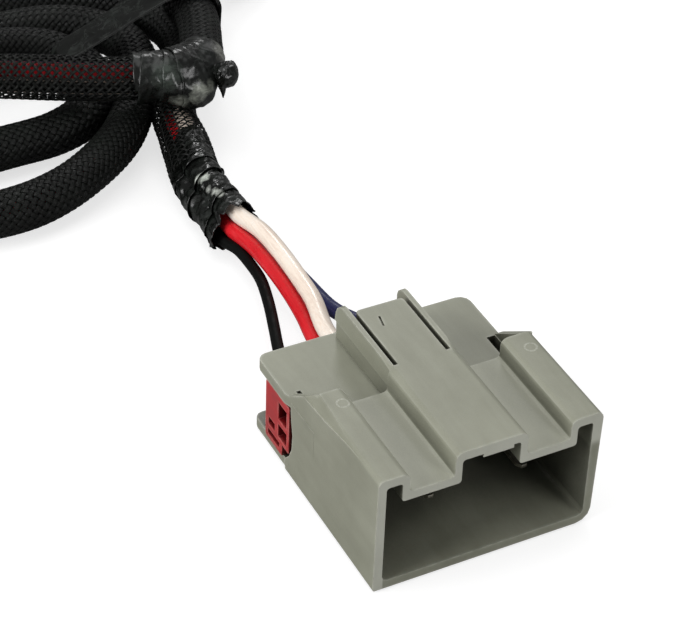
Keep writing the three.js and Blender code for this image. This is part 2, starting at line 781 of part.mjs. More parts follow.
function controllerHousing() {
  const { halfWidth, length, height, cavityZ } = CTRL;
  const roundedBlock = (half, top, spanY) =>
    alongY(rounded(rectangle(about(0, half), [0, top], 1.5), 2), spanY);
  // Ears that carry the latch lever.
  const earSide = [
    [10.5, height - 1],
    [16.5, height - 1],
    [15.2, height + 3.6],
    [11.8, height + 3.6],
  ];
  const body = join(
    roundedBlock(halfWidth, height, [0, length]),
    // Collar at the rear, where the wires enter.
    roundedBlock(halfWidth + 0.8, height + 0.6, [0, 5]),
    ...[-1, 1].map((side) => alongX(earSide, sideSpan(side, 5.0, 6.6))),
  );
  return cut(
    body,
    ...CTRL_COLUMNS.map((x) => box(about(x, 2.2), [-1, length + 1], about(cavityZ, 2.4))),
  );
}

function controllerLatch() {
  // Side outline: y, height above the housing.
  const side = [
    [1.0, 1.9], [25.4, 1.9], [25.4, 0.5], [26.2, 0.5], [27.6, 1.9],
    [27.6, 3.2], [5.0, 3.2], [4.0, 4.2], [1.0, 4.2],
  ].map(([y, above]) => [y, CTRL.height + above]);
  const opening = box(about(0, 2.4), [16.5, 24.2], [CTRL.height, CTRL.height + 6]);
  return alongX(side, about(0, 4.6)).subtract(opening);
}

function socketTerminal(x) {
  const z = CTRL.cavityZ;
  const gripRadius = TAIL_R + 0.62;
  return join(
    cut(
      box(about(x, 1.8), [9.5, 24.5], about(z, 1.6)),
      box(about(x, 1.3), [12.5, 25], about(z, 1.0)),
    ),
    box(about(x, 1.0), [1.6, 10], [z - gripRadius, z - TAIL_R - 0.2]),
    rodY(x, z, [1.6, 4.6], { radius: gripRadius, inner: TAIL_R + 0.28, sides: 10 }),
  );
}

// Tail wires in column order: name, offset sideways and up at the sleeve's end.
const TAIL_WIRES = [
  ["black", -2.9, -1.0],
  ["white", -1.0, 1.7],
  ["red", 1.0, -1.7],
  ["blue", 2.9, 1.0],
];

// Tail wires fan out from the sleeve's end to the controller plug.
function tailWire(columnX, sideways, up) {
  const along = coilCurve.getTangentAt(1).setZ(0).normalize();
  const across = new THREE.Vector3(along.y, -along.x, 0);
  const start = coilCurve
    .getPointAt(1)
    .addScaledVector(along, 1.1)
    .addScaledVector(across, sideways)
    .add(new THREE.Vector3(0, 0, up));
  const inPlug = [-3.0, 1.2, 9.0].map((y) =>
    new THREE.Vector3(columnX, y, CTRL.cavityZ).applyMatrix4(ctrlGroup.matrixWorld),
  );
  const centreLine = splineOf([start, start.clone().addScaledVector(along, 5.5), ...inPlug]);
  return swept(centreLine, { radius: TAIL_R, sides: 8, steps: 10 });
}

// ---- assembly ----------------------------------------------------------------------

const group = new THREE.Group();

function place(name, solid, material, parent = group) {
  const mesh = new THREE.Mesh(toGeometry(solid), material);
  mesh.name = name;
  parent.add(mesh);
}

place("plug_housing", plugHousing(), MATERIALS.plug);
place("latch_tongue", latchTongue(), MATERIALS.tongue);
place("secondary_lock", secondaryLock(), MATERIALS.lock);

for (const [name, spec] of Object.entries(WIRES)) {
  place("blade_" + name, bladeTerminal(spec), MATERIALS.terminal);
  place("conductor_" + name, conductor(spec), MATERIALS.copper);
  place("wire_" + name, wire(spec), jacketMaterial(name));
}

place("lead_tape", leadTape(), MATERIALS.tape);
place("braided_sleeve", braidedSleeve(), MATERIALS.sleeve);
place("coil_tape", coilTape(), MATERIALS.tape);
place("tie_band", tieBand(), MATERIALS.tape);
place("sleeve_end_tape", sleeveEndTape(), MATERIALS.tape);

TAIL_WIRES.forEach(([name, sideways, up], i) => {
  place("tail_wire_" + name, tailWire(CTRL_COLUMNS[i], sideways, up), jacketMaterial(name));
});

group.add(ctrlGroup);
place("controller_plug_housing", controllerHousing(), MATERIALS.controller, ctrlGroup);
place("controller_plug_latch", controllerLatch(), MATERIALS.controllerLatch, ctrlGroup);
TAIL_WIRES.forEach(([name], i) => {
  place("socket_" + name, socketTerminal(CTRL_COLUMNS[i]), MATERIALS.terminal, ctrlGroup);
});

export default group;
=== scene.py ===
"""A coiled cable harness, lying on the floor with +Z up.

The grey plug housing sits near the origin with its open front towards -Y. Four wires leave it
towards +Y, are taped into one lead, and run inside a braided sleeve that lies in a tied coil.
The sleeve ends at a small black controller plug beyond the coil, at +X +Y.
Meshes are laid out in millimetres; shaders, lights and the camera use metres.
"""
import json
import math
from collections import namedtuple
from functools import cached_property

import bpy
import numpy as np
from mathutils import Matrix, Vector

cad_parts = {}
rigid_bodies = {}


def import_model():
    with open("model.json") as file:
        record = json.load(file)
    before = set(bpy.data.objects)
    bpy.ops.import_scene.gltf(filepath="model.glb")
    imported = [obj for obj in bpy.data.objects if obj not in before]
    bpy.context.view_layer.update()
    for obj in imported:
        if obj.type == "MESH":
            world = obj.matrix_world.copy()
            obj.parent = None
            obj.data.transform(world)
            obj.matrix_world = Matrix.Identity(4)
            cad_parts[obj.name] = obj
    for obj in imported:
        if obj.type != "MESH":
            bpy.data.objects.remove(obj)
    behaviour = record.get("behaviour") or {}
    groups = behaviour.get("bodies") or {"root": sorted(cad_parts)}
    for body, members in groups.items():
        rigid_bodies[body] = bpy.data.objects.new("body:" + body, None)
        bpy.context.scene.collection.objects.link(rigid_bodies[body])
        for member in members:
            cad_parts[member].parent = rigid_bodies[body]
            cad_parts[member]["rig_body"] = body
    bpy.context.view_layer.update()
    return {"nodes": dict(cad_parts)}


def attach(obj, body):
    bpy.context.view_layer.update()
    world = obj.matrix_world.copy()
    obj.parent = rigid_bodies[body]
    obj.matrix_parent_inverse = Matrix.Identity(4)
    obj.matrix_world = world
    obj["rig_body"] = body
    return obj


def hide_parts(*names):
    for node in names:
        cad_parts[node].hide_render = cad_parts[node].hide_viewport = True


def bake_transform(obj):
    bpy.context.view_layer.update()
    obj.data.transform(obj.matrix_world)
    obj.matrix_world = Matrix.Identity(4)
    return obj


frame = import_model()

NODES = frame["nodes"]
MM = 0.001
COLOURS = ("black", "red", "white", "blue")


# ---------------------------------------------------------------- noise

def hash01(ix, iy, iz, seed):
    """Repeatable value from -1 to 1 for each lattice point."""
    h = (
        ix.astype(np.int64) * 73856093
        ^ iy.astype(np.int64) * 19349663
        ^ iz.astype(np.int64) * 83492791
        ^ (seed * 2654435761 & 0xFFFFFFFF)
    ) & 0xFFFFFFFF
    h = ((h ^ (h >> 13)) * 1274126177) & 0xFFFFFFFF
    h = ((h ^ (h >> 15)) * 2246822519) & 0xFFFFFFFF
    return ((h ^ (h >> 16)) & 0xFFFF) / 32767.5 - 1.0


def noise(points, seed):
    """Smooth value noise at points (..., 3), one lattice cell per unit."""
    cell = np.floor(points).astype(np.int64)
    f = points - cell
    ease = f * f * f * (f * (f * 6 - 15) + 10)
    weights = (1 - ease, ease)
    total = np.zeros(points.shape[:-1])
    for dx in (0, 1):
        for dy in (0, 1):
            for dz in (0, 1):
                weight = weights[dx][..., 0] * weights[dy][..., 1] * weights[dz][..., 2]
                corner = (cell[..., 0] + dx, cell[..., 1] + dy, cell[..., 2] + dz)
                total += weight * hash01(*corner, seed)
    return total


def fbm(points, seed, octaves):
    """Noise summed over octaves, each twice as fine and half as strong."""
    value, gain, total = np.zeros(points.shape[:-1]), 1.0, 0.0
    for octave in range(octaves):
        value += gain * noise(points * (2.0 ** octave), seed + 17 * octave)
        total += gain
        gain *= 0.5
    return value / total


def creases(points, seed):
    """Sharp creases: 1 on a crease, 0 well away from it."""
    return np.clip(1.0 - np.abs(noise(points, seed)) * 2.0, 0, 1) ** 2


def smooth01(t):
    t = np.clip(t, 0, 1)
    return t * t * (3 - 2 * t)


# ---------------------------------------------------------------- curves (millimetres)

def catmull(points, per_span):
    """Centripetal Catmull-Rom through the points, as the CAD curves are."""
    points = [np.array(point, float) for point in points]
    padded = [2 * points[0] - points[1]] + points + [2 * points[-1] - points[-2]]
    t = np.arange(per_span)[:, None] / per_span
    spans = []
    for p0, p1, p2, p3 in zip(padded, padded[1:], padded[2:], padded[3:]):
        d0 = max(np.linalg.norm(p1 - p0), 1e-4) ** 0.5
        d1 = max(np.linalg.norm(p2 - p1), 1e-4) ** 0.5
        d2 = max(np.linalg.norm(p3 - p2), 1e-4) ** 0.5
        slope1 = ((p1 - p0) / d0 - (p2 - p0) / (d0 + d1) + (p2 - p1) / d1) * d1
        slope2 = ((p2 - p1) / d1 - (p3 - p1) / (d1 + d2) + (p3 - p2) / d2) * d1
        square = -3 * p1 + 3 * p2 - 2 * slope1 - slope2
        cube = 2 * p1 - 2 * p2 + slope1 + slope2
        spans.append(p1 + slope1 * t + square * t * t + cube * t * t * t)
    return np.vstack(spans + [points[-1][None]])


def unit(vectors):
    return vectors / np.linalg.norm(vectors, axis=-1, keepdims=True)


class Path:
    """A curve by arc length, with a frame that stays level."""

    def __init__(self, points, per_span=40):
        self.points = catmull(points, per_span)
        steps = np.linalg.norm(np.diff(self.points, axis=0), axis=1)
        self.marks = np.concatenate([[0], np.cumsum(steps)])
        self.length = self.marks[-1]

    def at(self, along):
        columns = [np.interp(along, self.marks, self.points[:, k]) for k in range(3)]
        return np.stack(columns, axis=-1)

    def frame(self, along, reach=0.6):
        """Unit tangent, side and up vectors."""
        behind = self.at(np.clip(along - reach, 0, self.length))
        ahead = self.at(np.clip(along + reach, 0, self.length))
        tangent = unit(ahead - behind)
        side = unit(np.cross(tangent, np.array([0, 0, 1.0])))
        return tangent, side, np.cross(side, tangent)

    def nearest(self, point):
        """Arc length of the sample nearest the point."""
        gaps = np.linalg.norm(self.points - np.array(point, float), axis=1)
        return self.marks[np.argmin(gaps)]


# ---------------------------------------------------------------- mesh building
# A part is (vertices, quads, end faces).

def loops_mesh(loops):
    """Part of closed rings (rings, points, 3) joined one to the next and capped."""
    m, k, _ = loops.shape
    i = np.arange(m - 1)[:, None] * k
    j = np.arange(k)[None, :]
    following = (j + 1) % k
    quads = np.stack([i + j, i + following, i + k + following, i + k + j], axis=2)
    ends = [list(range(k))[::-1], list(range((m - 1) * k, m * k))]
    return loops.reshape(-1, 3), quads.reshape(-1, 4), ends


def flipped(part):
    vertices, quads, ends = part
    return vertices, quads[:, ::-1], [end[::-1] for end in ends]


def oriented(part):
    """The part with its faces turned outwards, by the sign of its volume."""
    vertices, quads, ends = part
    a, b, c, d = (vertices[quads[:, k]] for k in range(4))
    volume = np.einsum("ij,ij->i", a, np.cross(b, c)).sum()
    volume += np.einsum("ij,ij->i", a, np.cross(c, d)).sum()
    for end in ends:
        rim = vertices[np.array(end)]
        for k in range(1, len(end) - 1):
            volume += np.dot(rim[0], np.cross(rim[k], rim[k + 1]))
    return flipped(part) if volume < 0 else part


def tube(centres, side, up, radius, sides):
    """Round tube. side, up and the path form a left-handed set, so its faces are flipped."""
    angle = np.arange(sides) * math.tau / sides
    around = (np.cos(angle)[None, :, None] * side[:, None, :]
              + np.sin(angle)[None, :, None] * up[:, None, :])
    return flipped(loops_mesh(centres[:, None, :] + radius * around))


def sheet(top, low):
    """Thin closed sheet between two grids of points (rows, columns, 3)."""
    return oriented(loops_mesh(np.concatenate([top, low[:, ::-1]], axis=1)))


def make(name, parts, material, replaces=(), smooth=True, across=None):
    """One harness object from parts in millimetres; across fills a vertex attribute."""
    vertices, corners, sizes = [], [], []
    first = 0
    for points, quads, ends in parts:
        vertices.append(points)
        corners.append((quads + first).ravel())
        sizes.append(np.full(len(quads), 4))
        for end in ends:
            corners.append(np.array(end) + first)
            sizes.append(np.array([len(end)]))
        first += len(points)
    vertices = np.vstack(vertices) * MM
    corners = np.concatenate(corners).astype(np.int32)
    sizes = np.concatenate(sizes).astype(np.int32)
    starts = (np.cumsum(sizes) - sizes).astype(np.int32)
    mesh = bpy.data.meshes.new(name)
    mesh.vertices.add(len(vertices))
    mesh.vertices.foreach_set("co", vertices.astype(np.float32).ravel())
    mesh.loops.add(len(corners))
    mesh.loops.foreach_set("vertex_index", corners)
    mesh.polygons.add(len(starts))
    mesh.polygons.foreach_set("loop_start", starts)
    mesh.polygons.foreach_set("loop_total", sizes)
    mesh.polygons.foreach_set("use_smooth", np.full(len(starts), smooth))
    if across is not None:
        attribute = mesh.attributes.new("across", "FLOAT", "POINT")
        attribute.data.foreach_set("value", np.concatenate(across).astype(np.float32))
    mesh.update(calc_edges=True)
    mesh.validate()
    ob = bpy.data.objects.new(name, mesh)
    bpy.context.scene.collection.objects.link(ob)
    mesh.materials.append(material)
    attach(ob, "harness")
    if replaces:
        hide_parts(*replaces)
    return ob


# ---------------------------------------------------------------- shader kit

def rgba(value):
    """A socket as it is, or a grey or an RGB colour as RGBA."""
    if isinstance(value, bpy.types.NodeSocket):
        return value
    return (*value, 1) if hasattr(value, "__len__") else (value, value, value, 1)


def srgb(*channels):
    """Linear colour from sRGB channels of 0 to 255."""
    def linear(c):
        c /= 255.0
        return c / 12.92 if c <= 0.04045 else ((c + 0.055) / 1.055) ** 2.4

    return tuple(linear(c) for c in channels)


def tones(*rows):
    """Dark, middle and light colours from sRGB rows."""
    return [srgb(*row) for row in rows]


def dim(colour, factor):
    return [factor * c for c in colour]


class Shader:
    """A Principled material. Most methods add a node and return its output socket."""

    def __init__(self, name):
        self.material = bpy.data.materials.new(name)
        self.material.use_nodes = True
        self.tree = self.material.node_tree
        self.tree.nodes.clear()
        output = self.node("OutputMaterial")
        self.principled = self.node("BsdfPrincipled")
        self.tree.links.new(self.principled.outputs[0], output.inputs[0])
        self.place = self.node("TexCoord").outputs["Object"]

    def feed(self, node, inputs):
        for key, value in inputs.items():
            if isinstance(value, bpy.types.NodeSocket):
                self.tree.links.new(value, node.inputs[key])
            else:
                node.inputs[key].default_value = value

    def node(self, kind, inputs=None, **settings):
        node = self.tree.nodes.new("ShaderNode" + kind)
        for key, value in settings.items():
            setattr(node, key, value)
        self.feed(node, inputs or {})
        return node

    def finish(self, inputs):
        self.feed(self.principled, inputs)
        return self.material

    @cached_property
    def xyz(self):
        """Object coordinates, in metres."""
        return self.node("SeparateXYZ", {0: self.place}).outputs[:]

    @cached_property
    def facing(self):
        """Components of the true face normal."""
        normal = self.node("NewGeometry").outputs["True Normal"]
        return self.node("SeparateXYZ", {0: normal}).outputs[:]

    def noise(self, scale, detail=3.0, roughness=0.55, distortion=0.0, place=None):
        return self.node("TexNoise", {
            "Scale": scale, "Detail": detail, "Roughness": roughness,
            "Distortion": distortion, "Vector": place or self.place,
        }).outputs["Fac"]

    def streaks(self, scales, roughness=0.6, distortion=0.0):
        """Noise with its own scale along each axis."""
        place = self.node("Mapping", {"Scale": scales, "Vector": self.place}).outputs[0]
        return self.noise(1, 3, roughness, distortion, place)

    def ramp(self, value, *stops):
        """Colour ramp; each stop is (position, grey or colour)."""
        node = self.node("ValToRGB", {0: value})
        elements = node.color_ramp.elements
        while len(elements) < len(stops):
            elements.new(0.5)
        for k, (position, colour) in enumerate(stops):
            elements[k].position = position
            elements[k].color = rgba(colour)
        return node.outputs[0]

    def math(self, operation, a, b=0.0):
        return self.node("Math", {0: a, 1: b, 2: 0.0}, operation=operation).outputs[0]

    def add(self, first, *others):
        for other in others:
            first = self.math("ADD", first, other)
        return first

    def times(self, first, *others):
        for other in others:
            first = self.math("MULTIPLY", first, other)
        return first

    def weighted(self, *pairs):
        """Sum of (value, weight) pairs."""
        return self.add(*[self.times(value, weight) for value, weight in pairs])

    def without(self, mask):
        return self.math("SUBTRACT", 1.0, mask)

    def mix(self, factor, a, b):
        inputs = {0: factor, 6: rgba(a), 7: rgba(b)}
        return self.node("Mix", inputs, data_type="RGBA").outputs[2]

    def hollow(self, distance, inside=False):
        """Occlusion: 1 in the open, towards 0 in corners. inside finds outer edges instead."""
        return self.node("AmbientOcclusion", {"Distance": distance},
                         samples=4, inside=inside, only_local=inside).outputs["AO"]

    def step(self, value, zero, one):
        """Smooth step from 0 at zero to 1 at one; zero may be the larger."""
        rising = zero < one
        return self.node("MapRange", {
            "From Min": min(zero, one), "From Max": max(zero, one),
            "To Min": 0.0 if rising else 1.0, "To Max": 1.0 if rising else 0.0,
            "Value": value,
        }, interpolation_type="SMOOTHSTEP").outputs[0]

    def bump(self, height, distance, strength):
        inputs = {"Strength": strength, "Distance": distance, "Height": height}
        return self.node("Bump", inputs).outputs[0]


# ---------------------------------------------------------------- moulded nylon

HOUSING_PAINTED_LIGHT = srgb(200, 201, 186)
HOUSING_RIM_LIGHT = srgb(200, 201, 188)
PIN_MARKS = ((-0.01974, -0.0029), (0.02157, -0.0032))  # x, y
PIN_MARK_RADIUS = 0.0012


def front_face(n):
    """The housing's end face, which looks along -Y."""
    return n.times(n.step(n.facing[1], zero=-0.55, one=-0.85),
                   n.step(n.xyz[1], zero=-0.0252, one=-0.0257))


def housing_painted_shade_and_light(n, colour, dark, room_shade):
    """Paints shade into the shroud's inside and light onto half-shaded floors. Returns the colour
    and the room shade mask kept indoors.
    """
    x, y, z = n.xyz
    black = dim(dark, 0.03)
    # Faces under the open sky get no painted shade.
    sky = n.times(n.step(n.facing[2], zero=0.3, one=0.75), n.step(z, zero=0.0186, one=0.0192))
    # The outer walls and the front face stand in the open, so no shade is painted there.
    indoors = n.times(n.step(n.math("ABSOLUTE", x), zero=0.0236, one=0.0231),
                      n.without(front_face(n)))
    room_shade = n.times(room_shade, n.without(sky), indoors)
    # Steep faces in the hollows get the darkest painted shade.
    steep_shade = n.times(
        n.ramp(n.hollow(distance=0.022), (0.5, 1.0), (0.85, 0.0)),
        n.step(n.facing[2], zero=0.6, one=0.1),
        indoors,
        n.step(z, zero=0.0200, one=0.0190),
    )
    # Up-facing faces in partial shade, mostly the channel floors, get painted light towards a paler
    # grey.
    lift = n.times(
        sky,
        n.ramp(n.hollow(distance=0.012), (0.4, 1.0), (0.97, 0.0)),
        n.without(n.times(n.step(y, zero=0.0005, one=0.0035), 0.7)),
    )
    colour = n.mix(n.times(lift, 0.9), colour, HOUSING_PAINTED_LIGHT)
    colour = n.mix(n.times(steep_shade, 0.82), colour, black)
    # Little light reaches the back (+Y) of the shroud.
    depth = n.times(
        indoors,
        n.step(z, zero=0.0200, one=0.0190),
        n.times(n.step(y, zero=-0.0185, one=-0.0075), n.step(z, zero=0.0004, one=0.0008)),
    )
    enclosed = n.ramp(n.hollow(distance=0.022), (0.6, 1.0), (0.9, 0.0))
    return n.mix(n.times(depth, enclosed, 0.8), colour, black), room_shade


def housing_rim_painted_light(n, colour, cloud):
    """The front rim is painted lighter along the top and down the -X side, where the light catches
    it.
    """
    x, _, z = n.xyz
    top_or_side = n.math("MAXIMUM", n.step(z, zero=0.0195, one=0.0215),
                         n.step(x, zero=-0.0219, one=-0.0223))
    rim = n.times(front_face(n), top_or_side)
    return n.mix(n.times(rim, n.ramp(cloud, (0.3, 0.7), (0.7, 1.0))), colour, HOUSING_RIM_LIGHT)


def pin_marks(n, colour, height, fine, edge_highlight):
    """Faint rings left by ejector pins. Returns the colour and the bump height."""
    for mark_x, mark_y in PIN_MARKS:
        dx = n.math("SUBTRACT", n.xyz[0], mark_x)
        dy = n.math("SUBTRACT", n.xyz[1], mark_y)
        squares = n.add(n.math("POWER", dx, 2.0), n.math("POWER", dy, 2.0))
        distance = n.math("SQRT", squares)
        off = n.math("ABSOLUTE", n.math("SUBTRACT", distance, PIN_MARK_RADIUS))
        ring = n.times(n.step(off, zero=0.0003, one=0.0001),
                       n.step(n.facing[2], zero=0.6, one=0.9))
        # The rings are tinted with the pale colour used for the painted edge highlights.
        colour = n.mix(n.times(ring, n.step(fine, zero=0.3, one=0.6), 0.3), colour, edge_highlight)
        height = n.add(height, n.times(ring, 1.5))
    return colour, height


def moulded(name, shades, roughness, bump_depth, hollow_shade,
            edge_highlight=None, edge_highlight_amount=0.0, housing=False):
    """Moulded nylon: flow marks, fine spark grain, painted highlights on the edges, painted shade
    in the hollows.
    """
    n = Shader(name)
    cloud = n.noise(scale=55, detail=4, roughness=0.6)
    flow = n.streaks((420, 60, 300), roughness=0.5, distortion=0.4)
    fine = n.noise(scale=4200, detail=2, roughness=0.6)
    tone = n.weighted((cloud, 0.55), (flow, 0.25), (fine, 0.2))
    colour = n.ramp(tone, *zip((0.36, 0.5, 0.64), shades))
    shade = dim(shades[0], hollow_shade)
    # Painted shade in deep hollows, and again in narrow slits and inner corners.
    room_shade = n.ramp(n.hollow(distance=0.022), (0.25, 1.0), (0.66, 0.0))
    if housing:
        colour, room_shade = housing_painted_shade_and_light(n, colour, shades[0], room_shade)
    colour = n.mix(n.times(room_shade, 0.85), colour, shade)
    slit_shade = n.ramp(n.hollow(distance=0.0016), (0.2, 1.0), (0.62, 0.0))
    colour = n.mix(n.times(slit_shade, 0.85), colour, shade)
    if edge_highlight:
        # Convex edges away from the shade are painted pale: a painted highlight along the edges.
        edge_light = n.ramp(n.hollow(distance=0.0007, inside=True), (0.45, 1.0), (0.82, 0.0))
        broken = n.ramp(n.noise(scale=420), (0.34, 0.35), (0.62, 1.0))
        colour = n.mix(n.times(edge_light, broken, edge_highlight_amount, n.without(room_shade)), colour, edge_highlight)
    height = n.weighted((fine, 0.6), (n.noise(scale=1300, detail=2), 0.8))
    if housing:
        colour = housing_rim_painted_light(n, colour, cloud)
        colour, height = pin_marks(n, colour, height, fine, edge_highlight)
    return n.finish({
        "Base Color": colour,
        "Roughness": n.ramp(n.weighted((cloud, 0.5), (fine, 0.5)),
                            (0.3, roughness - 0.08), (0.7, roughness + 0.1)),
        "Specular IOR Level": 0.5,
        "Normal": n.bump(height, distance=bump_depth, strength=0.8),
    })


GREY_TONES = tones((134, 135, 119), (144, 145, 129), (153, 154, 138))
GREY = moulded("grey_nylon", GREY_TONES, roughness=0.46, bump_depth=0.00003, hollow_shade=0.38,
               edge_highlight=srgb(230, 231, 220), edge_highlight_amount=0.45, housing=True)
GREY_WEB = moulded("grey_nylon_web", GREY_TONES, roughness=0.46, bump_depth=0.00003,
                   hollow_shade=1.0)
LOCK_RED = moulded("red_lock_nylon", tones((140, 20, 24), (176, 30, 34), (202, 48, 48)),
                   roughness=0.34, bump_depth=0.00002, hollow_shade=0.1,
                   edge_highlight=srgb(255, 196, 186), edge_highlight_amount=0.6)
BLACK_NYLON = moulded("black_nylon", tones((22, 23, 24), (30, 31, 32), (40, 41, 42)),
                      roughness=0.42, bump_depth=0.00003, hollow_shade=0.3,
                      edge_highlight=srgb(96, 96, 98), edge_highlight_amount=0.75)


# ---------------------------------------------------------------- wire jackets

def jacket(name, shades, roughness, coat=0.25, specular=0.5):
    """Extruded wire insulation: draw lines along the wire, small scuffs, a soft sheen."""
    n = Shader(name)
    draw = n.streaks((2400, 90, 2400))
    scuff = n.noise(scale=420, detail=4, roughness=0.6, distortion=0.4)
    cloud = n.noise(scale=60, detail=3, roughness=0.5)
    tone = n.weighted((cloud, 0.5), (draw, 0.5))
    colour = n.ramp(tone, *zip((0.36, 0.5, 0.66), shades))
    # Under the braid of the upper turn the wires lie in its shade, in patches.
    _, y, z = n.xyz
    patches = n.ramp(n.noise(scale=110, detail=3, roughness=0.6), (0.42, 0.12), (0.6, 0.8))
    under = n.times(n.step(z, zero=0.0125, one=0.0145), n.step(y, zero=0.095, one=0.1), patches)
    return n.finish({
        "Base Color": n.mix(under, colour, dim(shades[0], 0.26)),
        "Roughness": n.ramp(scuff, (0.35, roughness - 0.06), (0.7, roughness + 0.14)),
        "Coat Weight": coat,
        "Specular IOR Level": specular,
        "Coat Roughness": 0.18,
        "Normal": n.bump(n.add(draw, n.times(scuff, 0.4)), distance=0.00001, strength=0.5),
    })


JACKETS = {
    "black": jacket("jacket_black_pvc", tones((5, 6, 5), (8, 9, 8), (14, 15, 14)),
                    roughness=0.55, coat=0.0, specular=0.1),
    "red": jacket("jacket_red_pvc", tones((204, 18, 28), (220, 25, 36), (232, 42, 50)),
                  roughness=0.3),
    "white": jacket("jacket_white_pvc", tones((240, 220, 204), (254, 238, 222), (255, 246, 236)),
                    roughness=0.32),
    "blue": jacket("jacket_blue_pvc", tones((26, 28, 70), (34, 38, 86), (46, 50, 104)),
                   roughness=0.42, coat=0.04, specular=0.3),
}


# ---------------------------------------------------------------- tape, braid and metal

def tape(name, roughness=0.2, painted_highlights=()):
    """Black vinyl tape: fine stretch lines, dust, and pale grey patches painted on as highlights
    where the light catches it.

    Each painted highlight is (centre, reach, strength, sRGB colour), in metres.
    """
    n = Shader(name)
    cloud = n.noise(scale=140, detail=4, roughness=0.6)
    stretch = n.streaks((500, 2200, 900), distortion=0.3)
    fine = n.noise(scale=5200, detail=2, roughness=0.6)
    specks = n.noise(scale=320, detail=5, roughness=0.7, distortion=0.8)
    dust = n.ramp(specks, (0.5, 0.0), (0.72, 1.0))
    shades = tones((7, 8, 7), (13, 15, 13), (26, 30, 27))
    colour = n.ramp(n.weighted((cloud, 0.7), (fine, 0.3)), *zip((0.35, 0.52, 0.7), shades))
    colour = n.mix(n.times(dust, 0.2), colour, srgb(84, 92, 86))
    # Pale patches painted on where the light catches the tape: painted highlights.
    for centre, reach, strength, tint in painted_highlights:
        distance = n.node("VectorMath", {0: n.place, 1: centre}, operation="DISTANCE")
        ragged = n.noise(scale=520, detail=3, roughness=0.6, distortion=0.5)
        edge = n.add(n.math("DIVIDE", distance.outputs["Value"], reach), n.times(ragged, 0.9))
        lines = n.streaks((380, 900, 1500), distortion=0.6)
        painted_highlight = n.times(
            n.ramp(n.times(edge, 0.6), (0.5, 1.0), (0.86, 0.0)),
            n.ramp(lines, (0.36, 0.45), (0.56, 1.0)),
            strength,
        )
        colour = n.mix(painted_highlight, colour, srgb(*tint))
    height = n.weighted((stretch, 0.7), (fine, 0.25))
    return n.finish({
        "Base Color": colour,
        "Roughness": n.ramp(n.weighted((cloud, 0.6), (dust, 0.4)),
                            (0.25, roughness), (0.75, roughness + 0.28)),
        "Specular IOR Level": 0.42,
        "Normal": n.bump(height, distance=0.00005, strength=0.6),
    })


TAPE = tape("black_vinyl_tape")
TAPE_KNOT = tape("black_vinyl_tape_knot", roughness=0.24, painted_highlights=(
    ((0.0062, 0.1232, 0.0166), 0.0032, 0.85, (184, 188, 176)),
    ((0.0016, 0.1230, 0.0153), 0.0026, 0.6, (150, 154, 144)),
    ((0.0088, 0.1240, 0.0170), 0.0024, 0.8, (170, 174, 160)),
    ((-0.0006, 0.1246, 0.0222), 0.0044, 0.5, (88, 98, 90)),
    ((0.0153, 0.1300, 0.0211), 0.0036, 0.7, (140, 141, 134)),
))
TAPE_LEAD = tape("black_vinyl_tape_lead", painted_highlights=(
    ((-0.0051, 0.0973, 0.0116), 0.0017, 1.0, (226, 232, 222)),
    ((-0.0036, 0.0969, 0.0121), 0.0014, 1.0, (200, 206, 196)),
    ((-0.0065, 0.0970, 0.0106), 0.0013, 0.9, (206, 212, 202)),
    ((-0.0060, 0.0948, 0.0111), 0.0014, 1.0, (218, 222, 214)),
    ((-0.0052, 0.0929, 0.0117), 0.0014, 1.0, (214, 218, 210)),
    ((-0.0043, 0.0910, 0.0120), 0.0014, 1.0, (206, 210, 202)),
    ((-0.0034, 0.0891, 0.0122), 0.0012, 0.9, (190, 194, 186)),
))


def braid_material():
    """Black polyester yarn: filaments run along each flat strand and break up the sheen."""
    n = Shader("braid_polyester")
    across = n.node("Attribute", attribute_name="across").outputs["Fac"]
    half_waves = 3.5
    wave = n.math("SINE", n.times(across, 3.14159 * half_waves))
    filament = n.math("ABSOLUTE", wave)
    cloud = n.noise(scale=120, detail=3, roughness=0.6)
    fine = n.noise(scale=3800, detail=2, roughness=0.6)
    shades = tones((8, 9, 8), (15, 17, 15), (30, 34, 30))
    colour = n.ramp(n.weighted((cloud, 0.6), (fine, 0.4)), *zip((0.35, 0.52, 0.7), shades))
    return n.finish({
        # Painted shade in the grooves between the filaments.
        "Base Color": n.mix(n.times(n.without(filament), 0.5), colour, srgb(4, 5, 4)),
        "Roughness": n.ramp(fine, (0.3, 0.34), (0.7, 0.52)),
        "Specular IOR Level": 0.2,
        "Normal": n.bump(filament, distance=0.00007, strength=0.8),
    })


BRAID = braid_material()


def metal(name, dark, light, roughness, pitting):
    """Brushed metal with small dark pits."""
    n = Shader(name)
    brushed = n.streaks((5200, 260, 5200))
    cloud = n.noise(scale=260, detail=4, roughness=0.6)
    cells = n.node("TexVoronoi", {"Scale": 2600, "Vector": n.place}).outputs["Distance"]
    pits = n.ramp(cells, (0.02, 1.0), (0.12, 0.0))
    colour = n.ramp(n.weighted((brushed, 0.5), (cloud, 0.5)), (0.35, dark), (0.65, light))
    return n.finish({
        "Base Color": n.mix(n.times(pits, pitting), colour, dim(dark, 0.4)),
        "Metallic": 1.0,
        "Roughness": n.ramp(cloud, (0.3, roughness - 0.06), (0.7, roughness + 0.14)),
        "Normal": n.bump(n.add(brushed, n.times(cloud, 0.5)), distance=0.00002, strength=0.6),
    })


TIN = metal("tinned_brass", dark=srgb(150, 146, 134), light=srgb(206, 203, 192),
            roughness=0.3, pitting=0.2)
COPPER = metal("bare_copper", dark=srgb(166, 92, 52), light=srgb(222, 150, 104),
               roughness=0.28, pitting=0.1)


# ---------------------------------------------------------------- rigid CAD pieces

